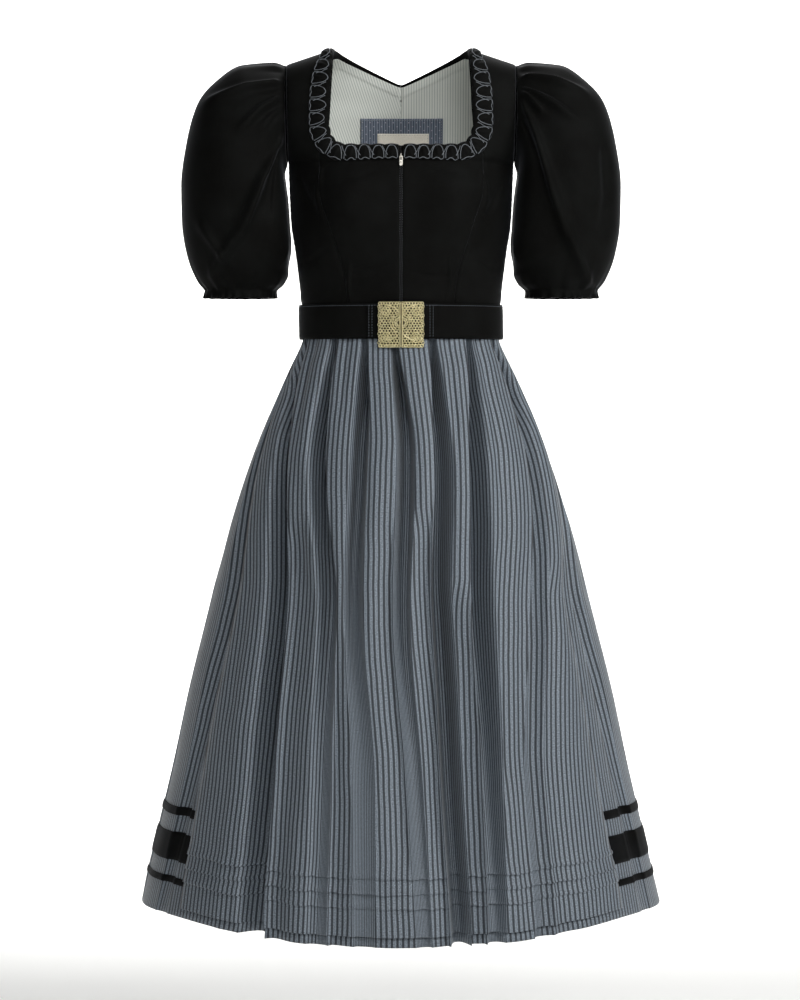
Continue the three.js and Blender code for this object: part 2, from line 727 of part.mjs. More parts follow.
const pull = plate(
  [[-1.8, 0.6], [1.8, 0.6], [2.1, 0.2], [2.1, -11.5], [1.2, -13], [-1.2, -13], [-2.1, -11.5], [-2.1, 0.2]],
  [[-1.2, -0.6], [-1.2, -5.2], [1.2, -5.2], [1.2, -0.6]],
  1,
  [ACROSS, UP, OUT],
  HINGE_OUT - 0.5,
);
add('zip_pull', pull, COLOURS.steel, 0.3, 0.9);

// ---------------------------------------------------------------------------------------
// Skirt, apron and ribbons share one pleated form.

const frontDepth = (halfWidth) => 0.9455 * halfWidth - 25.3;
const backDepth = (halfWidth) => 0.94 * halfWidth - 29;
const pleatAt = (values, z) => smoothAt(PLEAT_LEVELS, values, z);

// Level after the hem's dip at the front and its lift beside it
function levelAt(angle, z) {
  const share = clamp((-z - 700) / 406, 0, 1);
  const dip = Math.max(0, Math.cos(radians(angle))) ** 2;
  const off = Math.min(Math.abs(angle), Math.abs(angle - 360)) - HEM_LIFT_BEARING;
  const lift = Math.exp(-((off / 20) ** 2));
  return z + (HEM_SIDE_LIFT * lift - HEM_FRONT_DIP * dip) * share;
}

function skirtPoint(angle, z, lift) {
  const halfWidth = column(SKIRT_LINE, 1, z);
  return ringPoint(angle, levelAt(angle, z), halfWidth, frontDepth(halfWidth), backDepth(halfWidth), lift);
}

// Bearing turned by a distance along the ring
function turned(angle, z, distance) {
  const halfWidth = column(SKIRT_LINE, 1, z);
  const depth = frontDepth(halfWidth);
  const a = radians(angle);
  const radius = Math.hypot(halfWidth * Math.cos(a), depth * Math.sin(a));
  return angle + (distance / radius) * (180 / Math.PI);
}

const trough = (u) => (1 - Math.min(1, Math.abs(u))) ** 1.4;

// A place is either in a trough, "u" half widths from its middle, or on the panel after it.
function placeOnRing(place, z) {
  const pleat = PLEATS[place.pleat];
  const middle = pleatAt(pleat.at, z);
  const flank = pleatAt(pleat.flank, z);
  if (place.u !== undefined) {
    return [turned(middle, z, place.u * flank), -pleatAt(pleat.depth, z) * trough(place.u)];
  }
  const next = PLEATS[(place.pleat + 1) % PLEATS.length];
  const wrap = place.pleat + 1 === PLEATS.length ? 360 : 0;
  const from = turned(middle, z, flank);
  const to = turned(pleatAt(next.at, z) + wrap, z, -pleatAt(next.flank, z));
  const bulge = PANEL_BULGE * clamp((-z - 367) / 100, 0, 1) * 4 * place.t * (1 - place.t);
  return [turned(lerp(from, to, place.t), z, place.shift || 0), bulge];
}

function skirtPlaces(first, last, us, fillOf) {
  const places = [];
  for (let i = first; i <= last; i += 1) {
    us(i).forEach((u) => places.push({ pleat: i, u }));
    const fill = i < last ? fillOf(i) : 0;
    for (let k = 1; k <= fill; k += 1) {
      places.push({ pleat: i, t: k / (fill + 1) });
    }
  }
  return places;
}

const FINE = [-1, -0.5, 0, 0.5, 1];
const PLAIN = [-1, 0, 1];
const SHALLOW_BACK = [11, 13, 15];
const underApron = (i) => i >= FIRST_APRON_PLEAT && i <= LAST_APRON_PLEAT;
const backColumns = (i) => (SHALLOW_BACK.includes(i) ? PLAIN : FINE);
const lastPleat = PLEATS.length - 1;
const lastFront = LAST_APRON_PLEAT + 1;
const seamShift = SEAM_GAP / 2;

const frontPlaces = [
  { pleat: lastPleat, t: 0.5, shift: seamShift },
  ...skirtPlaces(0, lastFront, (i) => (underApron(i) ? PLAIN : FINE), (i) => PLEATS[i].fill),
  { pleat: lastFront, t: 0.5, shift: -seamShift },
];
const backPlaces = [
  { pleat: lastFront, t: 0.5, shift: seamShift },
  ...skirtPlaces(lastFront + 1, lastPleat, backColumns, (i) => PLEATS[i].fill),
  { pleat: lastPleat, t: 0.5, shift: -seamShift },
];

function skirtGrid(places, rows, lift) {
  return rows.map((z) =>
    places.map((place) => {
      const [angle, offset] = placeOnRing(place, z);
      return skirtPoint(angle, z, offset + lift);
    }),
  );
}

// At a side seam both halves are cut along the normal of the ring.
function skirtWall(places) {
  const outer = skirtGrid(places, SKIRT_ROWS, 0);
  const behind = skirtGrid(places, SKIRT_ROWS, -COTTON);
  const { side } = wall(outer, 1, new THREE.Vector3(0, 0, -700));
  const inner = offsetGrid(outer, side * COTTON);
  inner.forEach((row, r) => {
    row[0].copy(behind[r][0]);
    row[row.length - 1].copy(behind[r][row.length - 1]);
  });
  return shell(outer, inner);
}

add('skirt_front', skirtWall(frontPlaces), COLOURS.stripe);
add('skirt_back', skirtWall(backPlaces), COLOURS.stripe);

// Ribbons run round the back, from under one side edge of the apron to the other.
const ribbonPlaces = [
  { pleat: LAST_APRON_PLEAT, t: 0.25 },
  { pleat: LAST_APRON_PLEAT, t: 0.5 },
  { pleat: LAST_APRON_PLEAT, t: 0.75 },
  ...FINE.map((u) => ({ pleat: lastFront, u })),
  { pleat: lastFront, t: 0.5 },
  ...skirtPlaces(lastFront + 1, lastPleat, backColumns, (i) => PLEATS[i].fill),
  { pleat: lastPleat, t: 0.5 },
  ...FINE.map((u) => ({ pleat: 0, u })),
  { pleat: 0, t: 0.25 },
  { pleat: 0, t: 0.5 },
  { pleat: 0, t: 0.75 },
];

// A ring of the skirt's own mesh at a level between two of its rows
function ringOnSkirt(places, z) {
  let r = 0;
  while (r < SKIRT_ROWS.length - 2 && z < SKIRT_ROWS[r + 1]) {
    r += 1;
  }
  const share = (z - SKIRT_ROWS[r]) / (SKIRT_ROWS[r + 1] - SKIRT_ROWS[r]);
  const [above, below] = skirtGrid(places, [SKIRT_ROWS[r], SKIRT_ROWS[r + 1]], 0);
  return above.map((p, i) => p.clone().lerp(below[i], share));
}

for (const [name, low, high] of RIBBONS) {
  const grid = [ringOnSkirt(ribbonPlaces, HEM_SIDE_Z + high), ringOnSkirt(ribbonPlaces, HEM_SIDE_Z + low)];
  const { side } = wall(grid, 1, new THREE.Vector3(0, 0, -1030));
  add(name, shell(offsetGrid(grid, side * -1.7), offsetGrid(grid, side * -0.5)), COLOURS.ribbon);
}

// Apron: the same troughs, further out, with three tucks near its hem
function apronPlaces() {
  const pleats = [];
  for (let i = FIRST_APRON_PLEAT; i <= LAST_APRON_PLEAT; i += 1) {
    FINE.forEach((u) => pleats.push({ pleat: i, u }));
    if (i < LAST_APRON_PLEAT) {
      pleats.push({ pleat: i, t: 0.5 });
    }
  }
  const right = [0, 0.33, 0.67].map((t) => ({ edge: 'right', t }));
  const left = [0.33, 0.67, 1].map((t) => ({ edge: 'left', t }));
  return [...right, ...pleats, ...left];
}

// Beyond its outer pleats the apron lies on a skirt panel and shares its bulge.
function placeOnApron(place, z) {
  if (place.edge === undefined) {
    return placeOnRing(place, z);
  }
  const onRight = place.edge === 'right';
  const first = onRight ? 0 : LAST_APRON_PLEAT;
  const [from] = placeOnRing({ pleat: first, t: 0 }, z);
  const [to] = placeOnRing({ pleat: first, t: 1 }, z);
  const edge = pleatAt(onRight ? APRON_EDGE_RIGHT : APRON_EDGE_LEFT, z);
  const angle = onRight ? lerp(edge, to, place.t) : lerp(from, edge, place.t);
  return placeOnRing({ pleat: first, t: (angle - from) / (to - from) }, z);
}

function apronGrids() {
  const hem = HEM_SIDE_Z + APRON_ABOVE_HEM;
  const rows = [-346, -367, -402, -455, -525, -620, -760, -910, -1008].map((z) => [z, 0]);
  TUCKS.forEach((above) => rows.push([hem + above, TUCK_HEIGHT], [hem + above - 0.6, 0]));
  rows.push([hem, 0]);
  const lifted = (z) => lerp(2.1, APRON_LIFT, clamp((-z - 380) / 80, 0, 1));
  const places = apronPlaces();
  const grid = (height) =>
    rows.map(([z, tuck]) =>
      places.map((place) => {
        const [angle, offset] = placeOnApron(place, z);
        return skirtPoint(angle, z, offset + lifted(z) + tuck * height);
      }),
    );
  const plain = grid(0);
  const { side } = wall(plain, 1, new THREE.Vector3(0, 200, -700));
  return [grid(1), offsetGrid(plain, side * COTTON)];
}

add('apron', shell(...apronGrids()), COLOURS.stripe);

export default dress;
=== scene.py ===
"""A velvet dirndl with a striped skirt, its apron, belt and clasp, dressed around its fixed frame."""

import math

import bmesh
import bpy
from bpy.props import FloatProperty, FloatVectorProperty, PointerProperty
from mathutils import Matrix, Vector


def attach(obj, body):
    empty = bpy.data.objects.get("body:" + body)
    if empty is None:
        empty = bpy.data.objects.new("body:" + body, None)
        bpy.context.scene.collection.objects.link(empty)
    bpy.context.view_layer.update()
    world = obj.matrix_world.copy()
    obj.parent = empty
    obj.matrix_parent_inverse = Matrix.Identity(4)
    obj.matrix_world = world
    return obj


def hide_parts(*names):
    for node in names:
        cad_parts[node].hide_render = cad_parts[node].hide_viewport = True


bl_info = {
    "name": "Velvet dirndl",
    "version": (1, 0, 0),
    "blender": (4, 5, 0),
    "location": "View3D > Sidebar > Dirndl",
    "description": "Builds the cloth, trim and metal of a velvet dirndl",
    "category": "Add Mesh",
}

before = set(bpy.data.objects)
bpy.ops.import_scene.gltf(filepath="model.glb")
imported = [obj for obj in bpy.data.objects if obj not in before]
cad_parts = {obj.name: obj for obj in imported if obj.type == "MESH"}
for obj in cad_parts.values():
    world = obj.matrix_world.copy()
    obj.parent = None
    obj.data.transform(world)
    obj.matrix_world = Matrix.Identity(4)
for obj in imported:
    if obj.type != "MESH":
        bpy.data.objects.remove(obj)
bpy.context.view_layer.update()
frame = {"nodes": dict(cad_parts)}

# ---------------------------------------------------------------------------------------
# Sizes, in millimetres. The front faces -Y, +X is the wearer's left, and the origin is
# midway between the shoulder tops.

MM = 0.001
SEAM_GAP = 0.3

SHOULDER_Z = 13.4
NECK_POINT_X = 87
SHOULDER_SLOPE = 0.33
ARMHOLE_MIDDLE_Z = -70
ARMPIT_Z = -138
ARMHOLE_HALF_DEPTH = 52
BODICE_HEM_Z = -343.7
FRONT_NECK_Z = -119
BACK_NECK_Z = -24
BACK_NECK_ROUND = 6

BELT_TOP_Z = -321.5
BELT_BOTTOM_Z = -367
BELT_HALF_WIDTH = 134.6
BELT_FRONT = 101.8
BELT_BACK = 95.6
BELT_FOLD_ANGLE = 19.1
BELT_FOLD_HEIGHT = 1.5
CLASP_HALF_WIDTH = 29.5
CLASP_TOP_Z = -319.8
CLASP_BOTTOM_Z = -378.3

HEM_SIDE_Z = -1106
HEM_FRONT_DIP = 9
HEM_SIDE_LIFT = 8
HEM_LIFT_BEARING = 53
APRON_ABOVE_HEM = 12
APRON_LIFT = 4.9
TUCK_HEIGHT = 2.6
PANEL_BULGE = 2.5
# Fullness of the bust: height, place to each side, level, half width and half height
BUST = (12, 73, -190, 36, 52)

# level, side reach of the bodice, front depth, back depth
BODY = [
    (-343.7, 129.1, 96.8, 92.3),
    (-322, 131.8, 99, 92.8),
    (-316, 133, 100.8, 93.8),
    (-300, 134.2, 101.5, 93),
    (-277, 137, 104.5, 91),
    (-250, 140.5, 108.5, 91),
    (-215, 145.8, 112, 94),
    (-180, 147.6, 112, 98),
    (-138, 149, 100, 101),
    (-100, 149.3, 86, 99),
    (-60, 149.8, 79, 93),
    (-20, 150.4, 76, 86),
    (20, 151, 76, 80),
]
# level, princess seam or neck edge
FRONT_SEAM = [
    (-343.7, 68),
    (-322, 69),
    (-281, 74.5),
    (-227, 91.5),
    (-175, 105.5),
    (-132, 106.5),
    (-112, 97),
    (-90, 94),
    (-40, 91),
    (14, 88),
]
# level, half width of the skirt
SKIRT_LINE = [
    (-344, 129),
    (-367, 129.4),
    (-376, 132.4),
    (-402, 144.5),
    (-455, 167),
    (-508, 188.8),
    (-561, 207),
    (-614, 223),
    (-720, 249.5),
    (-825, 276),
    (-930, 298.5),
    (-1036, 324),
    (-1116, 343),
]
PLEAT_LEVELS = [-367, -508, -705, -905, -1110]
# Pleats: bearing, depth and half width of each trough at those levels, and how far its
# bottom lies towards one side (-1 to 1), which makes that side the steep one.
PLEATS = [
    ("apron_edge_right", (-82.5, -76, -64, -63.6, -64.4), (3, 9, 20, 10, 2), (5, 14, 20, 20, 18), 0.2),
    ("front_1", (-69.7, -52.7, -39.5, -36.2, -33.1), (3, 16, 22, 20, 16), (5, 14, 19, 20, 20), -0.1),
    ("front_2", (-41.2, -33.7, -22, -19.6, -17.7), (3, 18, 13, 4, 2), (5, 13, 14, 14, 14), -0.3),
    ("front_3", (-21, -16, -13.7, -9, -7.6), (3, 18, 10, 3, 2), (5, 12, 12, 14, 14), -0.75),
    ("front_4", (-4, 1.8, 0.2, 3.1, 4.9), (3, 18, 11, 3, 2), (5, 12, 11, 10, 10), 0.55),
    ("front_5", (18.3, 16.2, 12, 12.2, 12.6), (3, 20, 23, 20, 14), (5, 12, 13, 14, 13), 0.15),
    ("front_6", (42.3, 30.8, 24.5, 22.5, 20.2), (3, 20, 22, 14, 6), (5, 13, 16, 14, 12), -0.2),
    ("front_7", (66, 60, 44.7, 33.9, 31.5), (3, 14, 10, 5, 4), (5, 14, 16, 14, 14), -0.6),
    ("apron_edge_left", (82, 84, 68.3, 68.4, 67.6), (3, 7, 20, 9, 2), (5, 13, 18, 20, 18), -0.3),
    ("back_1", (101, 101, 97, 96, 95), (3, 12, 16, 13, 11), (5, 13, 16, 16, 16), 0.2),
    ("back_2", (119, 116, 113, 112, 111), (3, 18, 20, 16, 13), (5, 13, 17, 18, 17), -0.4),
    ("back_3", (137, 133, 131, 130, 129), (3, 16, 10, 5, 3), (5, 13, 15, 15, 15), 0.3),
    ("back_4", (156, 153, 150, 148, 146), (3, 20, 22, 16, 10), (5, 13, 17, 18, 17), -0.1),
    ("back_5", (175, 173, 171, 168, 166), (3, 17, 12, 6, 4), (5, 13, 15, 15, 15), 0.5),
    ("back_6", (195, 194, 193, 191, 190), (3, 20, 24, 20, 14), (5, 13, 17, 19, 18), 0.1),
    ("back_7", (214, 214, 213, 213, 212), (3, 16, 12, 5, 3), (5, 13, 15, 15, 15), -0.5),
    ("back_8", (233, 233, 234, 234, 234), (3, 18, 20, 16, 12), (5, 13, 17, 18, 17), 0.2),
    ("back_9", (253, 254, 255, 256, 257), (3, 13, 18, 14, 11), (5, 13, 16, 17, 16), -0.2),
]
FIRST_APRON_PLEAT = 1
LAST_APRON_PLEAT = 7
LAST_FRONT_PLEAT = 8
LAST_PLEAT = len(PLEATS) - 1
APRON_EDGE_RIGHT = (-75.8, -67.5, -56.5, -57.1, -54.7)
APRON_EDGE_LEFT = (75.8, 75.5, 57.5, 55.5, 55.2)
# Lesser folds on the panels: the pleat before the panel, share of the way across it, upper
# and lower end, height (a trough is negative) and half width.
LESSER_FOLDS = [
    (1, 0.35, -350, -452, -3.5, 6),
    (1, 0.62, -560, -930, -2.6, 11),
    (1, 0.82, -360, -640, 1.6, 7),
    (2, 0.5, -352, -430, -2.0, 5),
    (2, 0.72, -640, -900, 2.4, 10),
    (3, 0.3, -560, -720, 2.0, 8),
    (3, 0.62, -700, -1080, -2.0, 12),
    (4, 0.42, -352, -560, 1.3, 7),
    (4, 0.7, -640, -960, -2.4, 9),
    (5, 0.3, -352, -470, -3.2, 5),
    (5, 0.6, -480, -700, 1.6, 8),
    (5, 0.45, -760, -1100, -2.2, 12),
    (6, 0.25, -356, -520, -4.0, 6),
    (6, 0.52, -600, -900, 2.6, 9),
    (6, 0.78, -690, -1060, -2.8, 12),
    (1, 0.22, -640, -1120, -11, 19),
    (2, 0.3, -760, -1120, -8, 16),
    (3, 0.8, -640, -980, -5, 16),
    (5, 0.2, -720, -1120, -12, 20),
    (6, 0.36, -560, -900, -5, 16),
    (7, 0.1, -700, -1120, -5, 18),
    (4, 0.86, -620, -1120, -8, 15),
    (7, 0.3, -420, -760, 2.2, 10),
    (7, 0.66, -700, -1010, -2.2, 12),
    (0, 0.5, -520, -820, -2.4, 12),
    (0, 0.8, -850, -1090, 1.8, 9),
    (8, 0.4, -380, -690, -2.6, 10),
    (9, 0.55, -600, -1000, 2.2, 11),
    (10, 0.4, -352, -560, -3.0, 7),
    (11, 0.6, -640, -1060, -3.2, 13),
    (12, 0.35, -380, -720, 2.2, 9),
    (13, 0.55, -760, -1100, -2.6, 13),
    (14, 0.5, -352, -640, -3.0, 8),
    (15, 0.42, -560, -980, 2.4, 11),
    (16, 0.6, -400, -800, -2.6, 9),
    (17, 0.4, -700, -1060, 2.0, 12),
]
# How much deeper the troughs are than in the table: all but the two beside the apron, those
# two, and the further share just under the belt
FOLD_GAIN = 2.1
SIDE_GAIN = 1.0
WAIST_GAIN = 1.2
# Edges of the three tucks above the apron's hem
TUCKS = (67.7, 50, 33)
# piece, lower and upper edge above the skirt's hem
RIBBONS = [
    ("ribbon_top", 122.5, 133.5),
    ("ribbon_middle", 66, 101.5),
    ("ribbon_bottom", 38, 46.5),
]

# Sleeve rings: outer point x and z, inner point x and z, half depth, reach round the bodice
SLEEVE = [
    (151.1, -8.1, 149.4, -138, 52, 0),
    (170, -5.5, 152.6, -150, 63, 1),
    (208, -8, 154, -168, 75, 5),
    (242, -28, 154, -192, 83, 8),
    (266, -56, 153.5, -214, 87, 9),
    (281, -105, 151.5, -236, 88, 9),
    (289, -165, 149.5, -252, 85, 8),
    (288, -215, 148, -266, 79, 5),
    (280, -262, 148, -280, 68, 1),
    (267, -292, 154, -294, 54, 0),
    (258.6, -303, 163.4, -304, 46, 0),
    (259.5, -312.5, 162.5, -312.5, 47, 0),
]
# Sleeve creases: points (x, z), height and half width, for the front and the back
CREASES_LEFT = {
    "front": [
        ([(155, -60), (176, -105), (193, -156), (215, -230), (248, -305)], 4.6, 7),
        ([(157, -27), (198, -34), (240, -50)], 3.4, 6),
        ([(157, -48), (170, -60), (182, -74)], 2.6, 4),
        ([(160, -42), (190, -60), (224, -84)], 3.0, 6),
        ([(158, -86), (178, -128), (190, -172)], -2.6, 7),
        ([(262, -120), (268, -180), (262, -240)], -2.2, 12),
    ],
    "back": [
        ([(155, -70), (186, -130), (206, -200), (236, -296)], 4.2, 8),
        ([(157, -30), (206, -40), (250, -70)], 3.2, 6),
        ([(158, -52), (188, -76), (214, -116)], 2.8, 6),
        ([(160, -100), (178, -160), (184, -214)], -2.6, 8),
    ],
}
CREASES_RIGHT = {
    "front": [
        ([(152, -103), (184, -160), (207, -225), (244, -284)], 4.6, 7),
        ([(152, -34), (200, -43), (253, -61)], 3.4, 6),
        ([(152, -53), (180, -70), (208, -99)], 3.0, 6),
        ([(152, -66), (168, -80), (182, -97)], 2.6, 4),
        ([(158, -112), (172, -160), (180, -210)], -2.6, 8),
        ([(226, -268), (248, -236), (262, -214)], 2.2, 8),
    ],
    "back": [
        ([(155, -84), (184, -148), (210, -214), (240, -290)], 4.0, 8),
        ([(157, -32), (204, -46), (246, -72)], 3.0, 6),
        ([(158, -56), (184, -84), (206, -124)], 2.6, 6),
    ],
}
HEAD_GATHERS = 19
CUFF_GATHERS = 30
# How much higher the creases of the velvet stand than their tables say
CREASE_GAIN = 1.7
SLEEVE_CREASE_GAIN = 1.7

# Bodice creases on the front, by side
BODICE_CREASES = {
    1: [
        ([(104, -150), (109, -176), (106, -214)], 1.6, 6),
        ([(62, -262), (64, -292), (60, -318)], 1.3, 4),
        ([(16, -282), (44, -288), (70, -284)], -0.9, 4),
        ([(98, -262), (118, -274), (132, -278)], -1.0, 5),
        ([(128, -170), (118, -196), (104, -212)], -1.3, 7),
        ([(40, -140), (62, -152), (88, -158)], -0.9, 6),
    ],
    -1: [
        ([(102, -148), (107, -180), (101, -226)], 1.6, 6),
        ([(66, -270), (68, -296), (66, -318)], 1.3, 4),
        ([(10, -270), (36, -280), (64, -276)], -0.9, 4),
        ([(96, -250), (116, -266), (132, -272)], -1.0, 5),
        ([(130, -160), (120, -190), (106, -206)], -1.3, 7),
        ([(30, -150), (54, -160), (84, -164)], -0.9, 6),
    ],
}

# Neck trim: inner edge x and z, width, from the shoulder to the centre front
TRIM_PATH = [
    (87.5, 12.4, 13),
    (88.5, -6, 18),
    (90.5, -30, 24),
    (92, -60, 26),
    (92.6, -88, 26),
    (90, -103, 25),
    (82, -113.5, 23),
    (70, -117.5, 21),
    (38, -117.8, 20.5),
    (3.2, -117.8, 20),
]
TRIM_PUFFS = 13
TRIM_WIDTH = 22
TRIM_SEAT = 0.9

# Seam allowance of the side fronts under the centre fronts, then the lining's and patch's
# depth under the velvet's face, and the sides and levels of patch and label
UNDERLAP = 1.6
LINING_DEPTH = 2.1
PATCH_DEPTH = 3.9
PATCH = (-55, 57, -147, -68)
LABEL = (-32, 38, -134, -88)

# Places that cloth faces away from: in the bodice, in the skirt and before the back's inside
INSIDE_BODICE = (0, 0, -200)
INSIDE_SKIRT = (0, 0, -700)
IN_FRONT_OF_BACK = (0, 300, -100)

# The clasp's back stands in front of the belt's turned ends.
CLASP_SEAT = BELT_FRONT + BELT_FOLD_HEIGHT + SEAM_GAP + 0.8

# Walls of the smaller pieces, in metres
BELT_WALL = 0.002
RIBBON_WALL = 0.0009
TRIM_WALL = 0.0007
LABEL_WALL = 0.0005
PLATE_WALL = 0.001

# Stage, in metres; the camera looks down by degrees, through a lens in millimetres.
CAMERA_PLACE = (-0.0013, -3.7483, -0.4208)
CAMERA_DOWN = 2.406
CAMERA_LENS = 102.23
FLOOR_Z = -1.42
SWEEP_Y = 5.5
SWEEP_BEND = 1.0
SWEEP_TOP = 6
SWEEP_HALF_WIDTH = 7
# Each soft light: place, what it points at, width and power in watts
LIGHTS = {
    "Key_softbox": ((2.4, -2.0, 1.2), (0, 0, -0.55), 1.8, 84),
    "Fill_softbox": ((-2.2, -2.4, 0.7), (0, 0, -0.5), 1.0, 8),
    "Front_softbox": ((0.5, -3.2, 0.7), (0, 0, -0.4), 1.6, 30),
    "Top_softbox": ((0.1, -1.5, 2.1), (0, 0, -0.2), 1.1, 14),
    "Backdrop_softbox": ((0, 2.6, 1.6), (0, 6.5, -0.6), 2.2, 420),
    "Back_softbox": ((0.2, 1.35, 1.7), (0, 0, -0.3), 1.4, 26),
}


# ---------------------------------------------------------------------------------------
# Curves and shapes


def lerp(a, b, t):
    return a + (b - a) * t


def clamp(value, low, high):
    return min(high, max(low, value))


def uneven(index, salt=0.0):
    """A fixed value from 0 to 1 that looks unordered from one index to the next."""
    return (index * 0.6180339887 + salt * 0.7548776662 + 0.31) % 1.0


def smooth_at(levels, values, level):
    """A smooth curve through values given at increasing or decreasing levels."""
    last = len(levels) - 1
    sign = 1 if levels[last] > levels[0] else -1
    i = 0
    while i < last - 1 and (level - levels[i + 1]) * sign > 0:
        i += 1
    step = levels[i + 1] - levels[i]
    t = clamp((level - levels[i]) / step, 0, 1)

    def slope(k):
        if k in (0, last):
            a = 0 if k == 0 else last - 1
            return (values[a + 1] - values[a]) / (levels[a + 1] - levels[a])
        before = (values[k] - values[k - 1]) / (levels[k] - levels[k - 1])
        after = (values[k + 1] - values[k]) / (levels[k + 1] - levels[k])
        return 0 if before * after <= 0 else 2 * before * after / (before + after)

    t2 = t * t
    t3 = t2 * t
    return (
        values[i] * (2 * t3 - 3 * t2 + 1)
        + values[i + 1] * (3 * t2 - 2 * t3)
        + step * (slope(i) * (t3 - 2 * t2 + t) + slope(i + 1) * (t3 - t2))
    )


COLUMNS = {}


def column(table, index, level):
    """One column of a table read at a level."""
    key = (id(table), index)
    if key not in COLUMNS:
        COLUMNS[key] = ([row[0] for row in table], [row[index] for row in table])
    levels, values = COLUMNS[key]
    return smooth_at(levels, values, level)


def bump(distance, width):
    """A soft hump: 1 at no distance, and almost nothing at twice the width."""
    return math.exp(-((distance / width) ** 2))


def faded(value, start, end, edge):
    """1 between start and end, and fading to 0 over an edge beyond them."""
    low, high = min(start, end), max(start, end)
    inside = min((value - low) / edge, (high - value) / edge)
    t = clamp(inside + 1, 0, 1)
    return t * t * (3 - 2 * t)


def crease_height(x, z, creases):
    """Height of a group of soft ridges and troughs, each along its own broken line."""
    total = 0
    for path, height, width in creases:
        nearest = 1e9
        along = 0
        for k in range(len(path) - 1):
            (ax, az), (bx, bz) = path[k], path[k + 1]
            dx, dz = bx - ax, bz - az
            t = clamp(((x - ax) * dx + (z - az) * dz) / (dx * dx + dz * dz), 0, 1)
            distance = math.hypot(x - ax - dx * t, z - az - dz * t)
            if distance < nearest:
                nearest = distance
                along = (k + t) / (len(path) - 1)
        if nearest < 3 * width:
            taper = math.sin(math.pi * clamp(0.12 + 0.85 * along, 0, 1)) ** 0.6
            total += CREASE_GAIN * height * bump(nearest, width * (0.45 + 0.6 * along)) * taper
    return total


# ---------------------------------------------------------------------------------------
# Materials


def linear(code):
    """An sRGB hex colour as linear RGB."""
    values = [int(code[i : i + 2], 16) / 255 for i in (1, 3, 5)]
    return tuple(v / 12.92 if v <= 0.04045 else ((v + 0.055) / 1.055) ** 2.4 for v in values)


def add_node(tree, kind, settings=None, inputs=None):
    """Adds a shader node. An input is a plain value, or the output of another node."""
    made = tree.nodes.new("ShaderNode" + kind)
    for name, value in (settings or {}).items():
        setattr(made, name, value)
    for name, value in (inputs or {}).items():
        if isinstance(value, bpy.types.NodeSocket):
            tree.links.new(value, made.inputs[name])
        else:
            made.inputs[name].default_value = value
    return made


def new_material(name):
    """An empty material, its tree and its surface shader."""
    made = bpy.data.materials.new(name)
    made.use_nodes = True
    tree = made.node_tree
    tree.nodes.clear()
    shader = add_node(tree, "BsdfPrincipled")
    add_node(tree, "OutputMaterial", None, {"Surface": shader.outputs[0]})
    return made, tree, shader


def per_mm(length):
    """How many repeats of this many millimetres lie in a metre, as pattern nodes count."""
    return 1000 / length


def mixed(tree, share, first, second):
    """Two colours mixed by a share. Each is linear RGB or a socket."""
    made = add_node(tree, "Mix", {"data_type": "RGBA"}, {"Factor": share})
    for socket, colour in ((made.inputs[6], first), (made.inputs[7], second)):
        if isinstance(colour, bpy.types.NodeSocket):
            tree.links.new(colour, socket)
        else:
            socket.default_value = (*colour, 1)
    return made.outputs[2]


def cotton_velvet(name, dark, light, sheen):
    """Cotton velvet: a short, dense cut pile on a woven ground. It drinks the light that
    falls straight on it and glows a little where it turns away, and brushed patches of
    its pile differ slightly."""
    made, tree, shader = new_material(name)
    place = add_node(tree, "TexCoord").outputs["Object"]
    brushed = add_node(
        tree, "TexNoise", None, {"Vector": place, "Scale": per_mm(55), "Detail": 3.0, "Roughness": 0.55}
    )
    # The pile's own points are 0.2 mm apart; they are drawn at 1.2 mm so that they show.
    pile = add_node(
        tree, "TexNoise", None, {"Vector": place, "Scale": per_mm(1.2), "Detail": 2.0, "Roughness": 0.7}
    )
    share = add_node(
        tree, "MapRange", None, {"Value": brushed.outputs[0], "From Min": 0.35, "From Max": 0.7}
    )
    colour = mixed(tree, share.outputs[0], dark, light)
    tree.links.new(colour, shader.inputs["Base Color"])
    relief = add_node(tree, "Bump", None, {"Strength": 0.35, "Distance": 0.0004, "Height": pile.outputs[0]})
    tree.links.new(relief.outputs[0], shader.inputs["Normal"])
    shader.inputs["Roughness"].default_value = 0.72
    shader.inputs["Specular IOR Level"].default_value = 0.06
    shader.inputs["Sheen Weight"].default_value = sheen
    shader.inputs["Sheen Roughness"].default_value = 0.32
    shader.inputs["Sheen Tint"].default_value = (*linear("#a9adb6"), 1)
    return made


